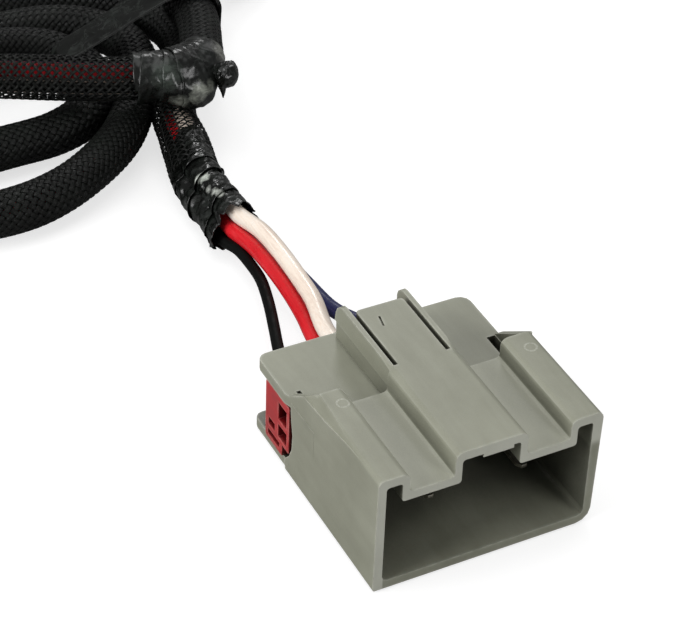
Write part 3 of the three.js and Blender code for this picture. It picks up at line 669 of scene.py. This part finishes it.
def dress(node, material, bevel, segments=2):
    """Material, clean flats and rounded edges (bevel in mm); the CAD mesh keeps its shape."""
    ob = NODES[node]
    ob.data.materials.clear()
    ob.data.materials.append(material)
    for polygon in ob.data.polygons:
        polygon.material_index = 0
        polygon.use_smooth = True
    weld = ob.modifiers.new("weld", "WELD")
    weld.merge_threshold = 2e-6
    flats = ob.modifiers.new("flats", "DECIMATE")
    flats.decimate_type = "DISSOLVE"
    flats.angle_limit = math.radians(0.4)
    edges = ob.modifiers.new("edges", "BEVEL")
    edges.width = bevel * MM
    edges.segments = segments
    edges.limit_method = "ANGLE"
    edges.angle_limit = math.radians(32)
    edges.use_clamp_overlap = True
    edges.miter_outer = "MITER_SHARP"
    normals = ob.modifiers.new("normals", "WEIGHTED_NORMAL")
    normals.mode = "FACE_AREA"
    normals.weight = 80
    normals.keep_sharp = False


dress("plug_housing", GREY, bevel=0.25, segments=3)
dress("latch_tongue", GREY, bevel=0.18)
dress("secondary_lock", LOCK_RED, bevel=0.16)
dress("controller_plug_housing", BLACK_NYLON, bevel=0.2)
dress("controller_plug_latch", BLACK_NYLON, bevel=0.2)
for colour in COLOURS:
    dress("blade_" + colour, TIN, bevel=0.08)
    dress("socket_" + colour, TIN, bevel=0.06)


# ---------------------------------------------------------------- harness layout

# Centre line of the taped lead, from the plug side: x, y, z.
LEAD = [
    (-2.8, 84.3, 6.3), (-2.6, 90.5, 6.3), (-2.6, 97.0, 6.3), (-2.2, 105.0, 6.3),
    (-0.1, 114.0, 6.3), (1.5, 121.5, 6.3), (2.4, 125.8, 6.3),
]
SLEEVE_START, CORE_START, SLEEVE_GAP = LEAD[3:6]
TOP_STRAND = (-13.5, 134.6, 18.4)  # on the strand that lies on top
KNOT = (3.0, 129.2, 18.7)
# Centre line of the sleeve from the lead round the coil to its far end: x, y, z.
COIL = [
    (2.8, 128.6, 6.2), (5.2, 134.5, 6.0), (9.2, 141, 6.0), (13.6, 148.6, 6.0),
    (17.4, 157, 6.0), (18.0, 168, 6.0), (12.5, 180, 6.0), (0, 189, 6.0),
    (-18, 194, 6.0), (-40, 192, 6.0), (-60, 183, 6.0), (-73, 168, 6.0),
    (-79, 150, 6.0), (-77, 132, 6.0), (-68, 118, 6.0), (-55, 111, 6.0),
    (-42.5, 110.2, 6.0), (-32.4, 112.8, 6.0), (-22.4, 118.2, 6.0), (-12.2, 126.5, 6.0),
    (-4.6, 136.4, 6.0), (1.2, 147, 6.0), (5.0, 158, 6.0), (4.6, 168, 6.0),
    (-2.5, 177, 6.0), (-16, 181.8, 6.0), (-36, 180.0, 6.0), (-53, 172, 6.0),
    (-63.5, 160, 6.0), (-66.5, 148, 6.0), (-62, 138, 6.0), (-50, 134.6, 6.0),
    (-36, 134.3, 6.0), (-24.5, 135.2, 6.0), (-15.8, 139.4, 6.0), (-10.6, 147.5, 6.0),
    (-8.0, 158, 6.0), (-14, 167, 7.5), (-27, 168.6, 10.5), (-39.5, 163.5, 14.0),
    (-45.5, 156, 16.8), (-41, 149.6, 17.6), (-31, 144.9, 17.6), (-22, 139.8, 17.9),
    TOP_STRAND, (-4.6, 130.8, 18.7), KNOT, (8.6, 130.4, 18.7),
    (12.2, 134.0, 18.3), (14.8, 140.0, 17.8), (17.4, 146.6, 17.6), (19.0, 153, 17.6),
    (19.4, 161, 17.6), (23.6, 170.4, 16.4), (31.0, 178.4, 12.5), (40.0, 184.4, 8.0),
    (48.0, 188.6, 6.2),
]
SLEEVE = Path(LEAD[2:6] + COIL)
TOP_AT = SLEEVE.nearest(TOP_STRAND)
KNOT_AT = SLEEVE.nearest(KNOT)
GAP_AT = SLEEVE.nearest(SLEEVE_GAP)

# start: (x, z) at the plug. lay: (x, z) off the lead's centre line.
# core: (side, up) inside the untwisted sleeve. run: x, y, z from the plug to the lead.
Wire = namedtuple("Wire", "start lay core radius ripple_seed run")
WIRES = {
    "black": Wire(
        start=(-15.9, 7.0), lay=(-2.7, -2.8), core=(0.0, 2.9), radius=1.28, ripple_seed=8,
        run=[(-15.2, 31, 7), (-12.5, 40, 7), (-9.9, 47.7, 6.9), (-7.3, 55.6, 6.4),
             (-4.9, 64.6, 5.6), (-4.2, 71.5, 4.9), (-4.3, 77.5, 4.6)]),
    "red": Wire(
        start=(-5.3, 7.0), lay=(-0.35, -0.4), core=(-2.6, 0.0), radius=1.8, ripple_seed=6,
        run=[(-5.1, 31, 7.3), (-4.5, 39.2, 7.7), (-3.3, 47.2, 8), (-2.4, 57.4, 8),
             (-2.2, 66.3, 7.9), (-2.2, 75, 7.1)]),
    "white": Wire(
        start=(-5.3, 14.2), lay=(1.3, 3.1), core=(2.6, 0.0), radius=1.9, ripple_seed=8,
        run=[(-5.0, 30, 14), (-4.1, 35.9, 13.2), (-1.6, 45.8, 12.3), (-0.8, 54, 12.0),
             (-0.3, 64.3, 11.7), (-0.3, 74, 11.0)]),
    "blue": Wire(
        start=(15.9, 7.0), lay=(3.35, -0.8), core=(0.0, -2.7), radius=1.75, ripple_seed=7,
        run=[(15.2, 29.6, 6.6), (11.8, 35.4, 6.0), (8.0, 41.8, 5.7), (5.0, 49, 5.2),
             (3.7, 59.4, 5.3), (2.8, 70, 5.5), (2.0, 78, 5.6)]),
}


# ---------------------------------------------------------------- wires, plug to sleeve end

WIRE_SIDES = 20


def twist(along):
    """Turn of the wires in the sleeve: none near the top strand, where red faces up."""
    straight, lay_length = 34, 150.0
    from_top = along - TOP_AT
    beyond = np.maximum(np.abs(from_top) - straight, 0.0) * np.sign(from_top)
    return -math.pi / 2 - 0.25 + beyond * (math.tau / lay_length)


def sleeved_points(wire):
    """Points that ease from the wire's place in the tape to its place in the core."""
    begin = SLEEVE.nearest(CORE_START) + 6
    along = np.arange(begin, SLEEVE.length - 0.5, 2.0)
    _, side, up = SLEEVE.frame(along)
    angle = twist(along)
    lay_side, lay_up = wire.lay
    core_side, core_up = wire.core
    turned_side = core_side * np.cos(angle) - core_up * np.sin(angle)
    turned_up = core_side * np.sin(angle) + core_up * np.cos(angle)
    eased = smooth01((along - begin) / 26.0)
    squeeze = 1 - 0.12 * (1 - eased)
    off_side = (lay_side * (1 - eased) + turned_side * eased) * squeeze
    off_up = (lay_up * (1 - eased) + turned_up * eased) * squeeze
    return list(SLEEVE.at(along) + off_side[:, None] * side + off_up[:, None] * up)


def wire_run(colour):
    wire = WIRES[colour]
    x, z = wire.start
    dx, dz = wire.lay
    taped = [(px + dx, py, pz + dz) for px, py, pz in LEAD[:5]]
    path = Path([(x, 20.7, z), (x, 26, z)] + wire.run + taped + sleeved_points(wire), per_span=8)
    along = np.linspace(0, path.length, int(path.length / 1.1))
    _, side, up = path.frame(along)
    points, quads, ends = tube(path.at(along), side, up, wire.radius, WIRE_SIDES)
    # Small ripples where the jacket has been handled.
    centre = np.repeat(path.at(along), WIRE_SIDES, axis=0)
    ripple = 1 + 0.012 * fbm(points * 0.35, wire.ripple_seed, 2)
    points = centre + (points - centre) * ripple[:, None]
    make("wire_run_" + colour, [(points, quads, ends)], JACKETS[colour],
         replaces=("wire_" + colour,))


for colour in COLOURS:
    wire_run(colour)


# ---------------------------------------------------------------- wires to the controller plug

CONTROLLER_ORIGIN = (66, 200)
CONTROLLER_TURN = math.atan2(0.5, 0.866) - math.pi / 2
CONTROLLER_WIRE_Z = 6.4
# Colour, x in the controller plug, then side and up offsets at the sleeve end.
TAILS = [
    ("black", -8.4, -2.9, -1.0),
    ("white", -2.8, -1.0, 1.7),
    ("red", 2.8, 1.0, -1.7),
    ("blue", 8.4, 2.9, 1.0),
]


def in_controller(x, y):
    """A point at wire height in the controller plug's own frame, whose mating end is +Y."""
    cos, sin = math.cos(CONTROLLER_TURN), math.sin(CONTROLLER_TURN)
    origin_x, origin_y = CONTROLLER_ORIGIN
    return (origin_x + x * cos - y * sin, origin_y + x * sin + y * cos, CONTROLLER_WIRE_Z)


def tail_run(colour, plug_x, offset, rise):
    tangent = SLEEVE.frame(SLEEVE.length)[0]
    forward = unit(np.array([tangent[0], tangent[1], 0.0]))
    sideways = np.array([forward[1], -forward[0], 0.0])
    start = np.array(COIL[-1], float) + forward * 1.1 + sideways * offset
    start = start + np.array([0, 0, rise])
    inside = [in_controller(plug_x, y) for y in (-3.0, 1.2, 9.0)]
    path = Path([start, start + forward * 5.5] + inside)
    along = np.linspace(0, path.length, 70)
    _, side, up = path.frame(along)
    make("tail_run_" + colour, [tube(path.at(along), side, up, 1.33, WIRE_SIDES)],
         JACKETS[colour], replaces=("tail_wire_" + colour,))


for tail in TAILS:
    tail_run(*tail)


# ---------------------------------------------------------------- bare conductors

def conductor(colour):
    """Stranded conductor in the crimp: six strands laid round a seventh."""
    x, z = WIRES[colour].start
    start_y, end_y, lay_length = 11.9, 20.4, 14.0
    y = np.linspace(start_y, end_y, 44)
    side, up = np.array([[1.0, 0, 0]]), np.array([[0, 0, 1.0]])
    parts = []
    for strand in range(7):
        turn = math.tau * (strand / 6.0) + (y - start_y) * math.tau / lay_length
        offset = 0.0 if strand == 6 else 0.63
        centres = np.stack([x + offset * np.cos(turn), y, z + offset * np.sin(turn)], axis=1)
        parts.append(tube(centres, side, up, 0.3, 10))
    make("strands_" + colour, parts, COPPER,
         replaces=("conductor_" + colour,))


for colour in COLOURS:
    conductor(colour)


# ---------------------------------------------------------------- hinge of the latch tongue

def hinge_web():
    """The thin moulded web that joins the tongue to the crown."""
    top, low = 28.806, 28.2
    start_y, end_y, half_width = 1.1, 3.05, 5.3
    rounding, edge_drop = 0.35, 0.012
    y, x = np.meshgrid(np.linspace(start_y, end_y, 11), np.linspace(-half_width, half_width, 13),
                       indexing="ij")
    inset = np.minimum(y - start_y, end_y - y) / rounding
    z = top - edge_drop * (1 - np.minimum(1.0, inset)) ** 2
    part = sheet(np.stack([x, y, z], axis=-1), np.stack([x, y, z * 0 + low], axis=-1))
    ob = make("latch_hinge_web", [part], GREY_WEB, smooth=False)
    # It stops riding on the harness alone, and bends between the harness and the tongue.
    # It is taken off the harness body and keeps its place in the world.
    ob.parent = None
    del ob["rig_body"]
    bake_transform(ob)


hinge_web()


# ---------------------------------------------------------------- braided sleeve

BRAID_RADIUS = 5.02
BRAID_STRANDS = 16  # in each direction
BRAID_SWING = 0.17  # how far strands rise and dip where they cross
BRAID_THICK = 0.24
BRAID_STEPS = 2  # rings per crossing
# Strand section: (across as a share of the width, outward as a share of the thickness).
BRAID_SECTION = np.array([(-0.5, 0.0), (-0.24, 0.5), (0.24, 0.5), (0.5, 0.0), (0.0, -0.5)])


def strand_width(along):
    """Pulled open on the top strand and at the sleeve's start, closed elsewhere."""
    top_open = (smooth01((along - (TOP_AT - 62)) / 14.0)
                * smooth01((TOP_AT + 20 - along) / 12.0))
    start_open = smooth01((GAP_AT + 10 - along) / 10.0)
    return 1.3 - 0.58 * top_open - 0.78 * start_open


def sleeve_radius(along):
    flare = smooth01((GAP_AT + 6 - along) / 12.0)
    waves = 0.1 * np.sin(along / 13.0) + 0.08 * np.sin(along / 5.3 + 1.0)
    return BRAID_RADIUS + waves + 0.6 * flare


def braid(start, end):
    """Flat strands in both directions, over one and under one; parts and across values."""
    turn_rate = 1.0 / BRAID_RADIUS  # 45 degree lay
    crossing = math.pi / (BRAID_STRANDS * turn_rate)
    along = np.linspace(start, end, int((end - start) / crossing * BRAID_STEPS) + 1)
    base = SLEEVE.at(along)
    tangent, side, up = SLEEVE.frame(along)
    radius = sleeve_radius(along)
    width = strand_width(along)[:, None]
    share_across = BRAID_SECTION[None, :, 0]
    share_out = BRAID_SECTION[None, :, 1, None]
    parts, across = [], []
    for hand in (1, -1):
        for strand in range(BRAID_STRANDS):
            angle = math.tau * strand / BRAID_STRANDS + hand * turn_rate * along
            swing = hand * BRAID_SWING * np.cos(BRAID_STRANDS * turn_rate * along)
            radial = np.cos(angle)[:, None] * side + np.sin(angle)[:, None] * up
            around = -np.sin(angle)[:, None] * side + np.cos(angle)[:, None] * up
            # The strand runs at 45 degrees, so its own width lies at 45 degrees too.
            width_way = (around - hand * tangent) / math.sqrt(2)
            centre = base + (radius + swing)[:, None] * radial
            loops = (
                centre[:, None, :]
                + (share_across * width)[:, :, None] * width_way[:, None, :]
                + share_out * BRAID_THICK * radial[:, None, :]
            )
            # Keep the flat strand's edges on the tube rather than on its tangent plane.
            drop = (share_across * width) ** 2 / (4 * BRAID_RADIUS)
            loops -= drop[:, :, None] * radial[:, None, :]
            parts.append(oriented(loops_mesh(loops)))
            across.append(np.tile(BRAID_SECTION[:, 0] + 0.5, len(along)))
    return parts, across


def sleeve():
    """The braid, in six lengths."""
    cuts = np.linspace(SLEEVE.nearest(SLEEVE_START), SLEEVE.length - 0.3, 7)
    for k in range(6):
        parts, across = braid(cuts[k], cuts[k + 1])
        make(f"sleeve_braid_{k + 1}", parts, BRAID,
             replaces=("braided_sleeve",) if k == 0 else (), across=across)


sleeve()


# ---------------------------------------------------------------- wound tape

TAPE_THICK = 0.16
END_TURNS = 0.85  # turns at each end that go straight round


def wound_tape(name, path, start, end, radius, width, pitch, lift, wrinkle, seed, replaces,
               steps=64, rows=22, outline=None, start_angle=0.0, hand=1, mouth=0.0, ragged=0.0,
               material=TAPE):
    """A strip of vinyl tape wound on in overlapping turns.

    steps are per turn and rows across the width. outline(along, angle) adds to the radius.
    On the first turn, mouth flares the leading edge and ragged tears it.
    """
    run = end - start - width
    turns = max(1.0, run / pitch) + 2 * END_TURNS
    wind, across = np.meshgrid(
        np.linspace(0, turns * math.tau, int(turns * steps) + 1),
        np.linspace(0, 1, rows + 1),
        indexing="ij",
    )
    zero = 0 * across
    angle = start_angle + hand * wind
    turn = wind / math.tau
    progress = np.clip((turn - END_TURNS) / (turns - 2 * END_TURNS), 0, 1)
    along = start + progress * run + across * width
    # The two long edges waver.
    waver = fbm(np.stack([wind * 2.2, zero + seed, zero], axis=-1), seed, 3)
    along = along + 0.6 * waver * (across - 0.5)
    first = 1 - smooth01((wind - math.tau) / 1.5)
    jag = np.abs(fbm(np.stack([wind * 1.25, zero, zero + 5.0], axis=-1), seed + 9, 3))
    along = along - ragged * first * jag * (1 - across) ** 3
    base = path.at(along)
    _, side, up = path.frame(along)
    radial = np.cos(angle)[..., None] * side + np.sin(angle)[..., None] * up
    # The strip stands higher at its leading edge, and each turn lies over the one before.
    height = radius + lift * (1 - across) + 0.05 * turn
    if outline is not None:
        height = height + outline(along, angle)
    surface = base + height[..., None] * radial
    crease_at = np.stack([angle * 1.1 + along * 0.35, along * 0.16, turn * 0.7], axis=-1)
    crease = creases(crease_at, seed + 3)
    puff = fbm(surface * 0.33, seed + 5, 3)
    tiny = fbm(surface * 1.4, seed + 8, 2)
    edge = np.abs(across - 0.5) * 2
    height = height + wrinkle * (0.75 * puff + 0.65 * crease + 0.22 * tiny)
    height = height + 0.2 * wrinkle * edge ** 4
    height = height + mouth * first * (1 - across) ** 4 * (0.7 + 0.9 * puff)
    top = base + (height + TAPE_THICK / 2)[..., None] * radial
    low = base + (height - TAPE_THICK / 2)[..., None] * radial
    make(name, [sheet(top, low)], material, replaces=replaces)


def lead_outline(along, angle):
    """How far the bundle of lead wires reaches from its centre line at each angle."""
    reach = np.full(along.shape, -1e9)
    for wire in WIRES.values():
        dx, dz = wire.lay
        reach = np.maximum(reach, dx * np.cos(angle) + dz * np.sin(angle) + wire.radius)
    return reach


KNOT_RADIUS = 5.35


def knot_outline(along, angle):
    """The wrap is pulled flat from the strand down to the lead it also holds."""
    near_knot = (smooth01((along - (KNOT_AT - 5)) / 8.0)
                 * smooth01((KNOT_AT + 9 - along) / 5.0))
    reach = 3.0 * np.cos(angle) - 4.0 * np.sin(angle) + 3.6
    return np.maximum(reach - KNOT_RADIUS, 0) * near_knot


lead_path = Path([(-2.9, 76.0, 6.3)] + LEAD)
lead_at = lead_path.nearest(LEAD[0])
wound_tape("lead_tape_wrap", lead_path, lead_at, lead_at + 32.6, radius=0.12, width=13.0,
           pitch=9.2, lift=0.7, wrinkle=0.62, seed=4, replaces=("lead_tape",), steps=96, rows=44,
           outline=lead_outline, start_angle=-2.2, hand=-1, mouth=0.45, ragged=4.2,
           material=TAPE_LEAD)
wound_tape("coil_tape_wrap", SLEEVE, KNOT_AT - 9.5, KNOT_AT + 10.5, radius=KNOT_RADIUS,
           width=11.0, pitch=4.8, lift=0.6, wrinkle=0.5, seed=11, replaces=("coil_tape",),
           steps=84, rows=34, outline=knot_outline, material=TAPE_KNOT)


# ---------------------------------------------------------------- knob of twisted tape

# Radius of the knob (mm) by share of its length: neck, bulb, rounded end.
KNOB_PROFILE = [
    (0, 2.9), (0.25, 2.4), (0.42, 2.2), (0.52, 2.6), (0.6, 3.1),
    (0.7, 3.35), (0.8, 3.2), (0.9, 2.5), (0.96, 1.6), (1.0, 0.05),
]


def knob_body():
    root = np.array([9.6, 129.0, 18.2])
    tip = np.array([15.54, 123.06, 18.44])
    length = np.linalg.norm(tip - root) + 1.2
    axis = unit(tip - root)
    side = unit(np.cross(axis, [0, 0, 1.0]))
    up = np.cross(side, axis)
    rings, sides = 64, 72
    share = np.linspace(0, 1, rings)
    profile = np.interp(share, *zip(*KNOB_PROFILE))
    # Smooth the profile, except at the very end.
    smoothed = np.convolve(np.pad(profile, 2, mode="edge"), np.ones(5) / 5, mode="valid")
    profile = np.where(share < 0.97, smoothed, profile)[:, None]
    along, angle = np.meshgrid(share, np.arange(sides) * math.tau / sides, indexing="ij")
    fold = 0.10 * np.abs(np.sin(1.5 * angle + 5.0 * along)) + 0.05 * np.sin(7 * angle - 9 * along)
    centre = root + axis * (along * length)[..., None]
    radial = np.cos(angle)[..., None] * side + np.sin(angle)[..., None] * up
    surface = centre + profile[..., None] * radial
    crumple = 0.13 * fbm(surface * 0.9, 51, 3) + 0.08 * creases(surface * 0.7, 53)
    radius = profile * (0.9 + fold * 0.8 + crumple)
    return oriented(loops_mesh(centre + radius[..., None] * radial))


def torn_corner():
    """A thin curled triangle that hangs below the knob."""
    base = np.array([13.4, 124.9, 15.6])
    drop = np.array([-0.3, -0.9, -3.2])
    across = unit(np.array([1.5, 0.3, 0.2]))
    curl = np.array([0.4, -0.6, 0.3])
    normal = unit(np.cross(unit(drop), across))
    share = np.linspace(0, 1, 14)
    half_width = (1.15 * (1 - share) ** 0.8 + 0.04)[:, None]
    centre = base + share[:, None] * drop + (0.5 * np.sin(share * 2.6))[:, None] * curl
    # Section: (edge or middle, upper or lower face); the middle stands proud.
    section = ((-1, 1), (0, 1), (1, 1), (1, -1), (0, -1), (-1, -1))
    lines = [centre + place * half_width * across + (face * 0.09 + 0.25 * (1 - abs(place))) * normal
             for place, face in section]
    return oriented(loops_mesh(np.stack(lines, axis=1)))


# The tape's end, twisted to a small hard knob, with one torn corner hanging.
make("coil_tape_knob", [knob_body(), torn_corner()], TAPE)

end_path = Path([SLEEVE.at(SLEEVE.length - 13), SLEEVE.at(SLEEVE.length - 6),
                 COIL[-1], (51.5, 190.6, 6.2)])
wound_tape("end_tape_wrap", end_path, 0.0, end_path.length, radius=5.45, width=9.0, pitch=4.0,
           lift=0.45, wrinkle=0.25, seed=21, replaces=("sleeve_end_tape",))


# ---------------------------------------------------------------- tie band

# Corners of the band's outline round the strands: x, z, corner radius.
TIE_CORNERS = [
    (-15.6, 0.5, 5.0), (24.2, 0.5, 5.0), (25.4, 23.7, 5.6), (11.6, 23.7, 5.6), (-15.6, 12.4, 4.4),
]


def rounded_outline(corners, steps=10):
    """Closed outline whose corners are arcs of the given radii."""
    points = []
    for i, (*corner, radius) in enumerate(corners):
        corner = np.array(corner, float)
        back = unit(np.array(corners[i - 1][:2], float) - corner)
        ahead = unit(np.array(corners[(i + 1) % len(corners)][:2], float) - corner)
        half = math.acos(max(-1, min(1, float(back @ ahead)))) / 2
        trim = radius / math.tan(half)
        centre = corner + unit(back + ahead) * (radius / math.sin(half))
        first = math.atan2(*(corner + back * trim - centre)[::-1])
        last = math.atan2(*(corner + ahead * trim - centre)[::-1])
        while last - first > math.pi:
            last -= math.tau
        while last - first < -math.pi:
            last += math.tau
        for k in range(steps + 1):
            angle = first + (last - first) * k / steps
            points.append(centre + radius * np.array([math.cos(angle), math.sin(angle)]))
    return np.array(points)


def tie_band():
    """Tape pulled round all the strands, on the +Y side of the knot."""
    start_y, width, drift = 151.6, 8.6, 0.5
    turns, steps, rows = 2.15, 190, 22
    outline = rounded_outline(TIE_CORNERS)
    closed = np.vstack([outline, outline[:1]])
    edges = np.linalg.norm(np.diff(closed, axis=0), axis=1)
    marks = np.concatenate([[0], np.cumsum(edges)])

    def outline_at(distance):
        distance = distance % marks[-1]
        return [np.interp(distance, marks, closed[:, k])[:, None] for k in (0, 1)]

    wind = np.linspace(0, turns, int(turns * steps) + 1)
    distance = (wind % 1.0) * marks[-1]
    x, z = outline_at(distance)
    ahead_x, ahead_z = outline_at(distance + 0.6)
    behind_x, behind_z = outline_at(distance - 0.6)
    tangent_x, tangent_z = ahead_x - behind_x, ahead_z - behind_z
    length = np.hypot(tangent_x, tangent_z)
    turn, across = np.meshgrid(wind, np.linspace(0, 1, rows + 1), indexing="ij")
    y = start_y + drift * turn / turns + across * width
    surface = np.stack(np.broadcast_arrays(x, y, z), axis=-1)
    normal = np.stack(
        np.broadcast_arrays(tangent_z / length, y * 0, -tangent_x / length), axis=-1)
    puff = fbm(surface * 0.22, 31, 3)
    crease_at = np.broadcast_arrays(x * 0.12 + y * 0.2, y * 0.25, z * 0.12)
    crease = creases(np.stack(crease_at, axis=-1), 33)
    # Each turn lies on the one before it.
    off = 0.08 + 0.2 * turn + 0.13 * (puff + 0.6) + 0.14 * crease
    surface = surface + off[..., None] * normal
    part = sheet(surface + 0.07 * normal, surface - 0.07 * normal)
    make("tie_band_wrap", [part], TAPE, replaces=("tie_band",))


tie_band()


# ---------------------------------------------------------------- stage (metres)

def floor_paper():
    """Bright where the camera sees it, calmer where it lights the object from below."""
    n = Shader("floor_paper")
    seen = n.node("LightPath").outputs["Is Camera Ray"]
    tone = n.noise(scale=30, detail=3, roughness=0.5)
    return n.finish({
        "Base Color": n.mix(seen, (0.34, 0.34, 0.34), n.ramp(tone, (0.3, 0.47), (0.7, 0.49))),
        "Roughness": 0.9,
        "Specular IOR Level": 0.0,
        "Emission Color": (1, 1, 1, 1),
        "Emission Strength": n.times(seen, 0.7),
    })


def floor():
    """A pale flat sheet just below the harness."""
    mesh = bpy.data.meshes.new("floor")
    half, z = 6.0, -0.0004
    corners = [(-half, -half, z), (half, -half, z), (half, half, z), (-half, half, z)]
    mesh.from_pydata(corners, [], [(0, 1, 2, 3)])
    ob = bpy.data.objects.new("floor", mesh)
    bpy.context.scene.collection.objects.link(ob)
    mesh.materials.append(floor_paper())


floor()

# Square area lights: name, place, target, size, watts.
LIGHTS = [
    ("softbox_top", (-0.1, 0.2, 0.95), (0, 0.07, 0), 0.8, 3.2),
    ("softbox_left", (-0.95, 0.05, 0.42), (0, 0.05, 0), 0.6, 7.6),
    ("softbox_front", (0.42, -0.9, 0.42), (0, 0.0, 0), 0.4, 3.6),
    ("softbox_right", (0.9, 0.5, 0.6), (0, 0.1, 0), 0.5, 1.2),
    ("softbox_back", (0.37, 0.85, 0.62), (0, 0.08, 0), 0.22, 1.7),
]
for name, place, target, size, watts in LIGHTS:
    light = bpy.data.lights.new(name, "AREA")
    light.shape = "SQUARE"
    light.size = size
    light.energy = watts
    light_ob = bpy.data.objects.new(name, light)
    bpy.context.scene.collection.objects.link(light_ob)
    light_ob.location = place
    aim = Vector(target) - Vector(place)
    light_ob.rotation_euler = aim.to_track_quat("-Z", "Y").to_euler()


def studio_world():
    """White behind the object, a low even fill everywhere else."""
    world = bpy.data.worlds.new("studio")
    bpy.context.scene.world = world
    world.use_nodes = True
    tree = world.node_tree
    background = tree.nodes["Background"]
    background.inputs["Color"].default_value = (1, 1, 1, 1)
    light_path = tree.nodes.new("ShaderNodeLightPath")
    strength = tree.nodes.new("ShaderNodeMapRange")
    strength.inputs["To Min"].default_value = 0.2
    strength.inputs["To Max"].default_value = 1.05
    tree.links.new(light_path.outputs["Is Camera Ray"], strength.inputs["Value"])
    tree.links.new(strength.outputs[0], background.inputs["Strength"])


def camera():
    """Looks down at the harness from the -X -Y side."""
    data = bpy.data.cameras.new("camera")
    data.sensor_width = 36.0
    data.lens = 123.605
    data.clip_start = 0.01
    data.clip_end = 20.0
    ob = bpy.data.objects.new("camera", data)
    bpy.context.scene.collection.objects.link(ob)
    right = (0.8906957, -0.4533930, 0.0331050)
    up = (0.2585942, 0.5652098, 0.7833689)
    backward = (-0.3738852, -0.6891826, 0.6206748)
    place = (-0.1853408, -0.3092893, 0.3243315)
    ob.matrix_world = Matrix((
        *zip(right, up, backward, place),
        (0, 0, 0, 1),
    ))
    bpy.context.scene.camera = ob


studio_world()
camera()
bpy.context.scene.view_settings.view_transform = "Standard"
bpy.context.scene.view_settings.look = "None"
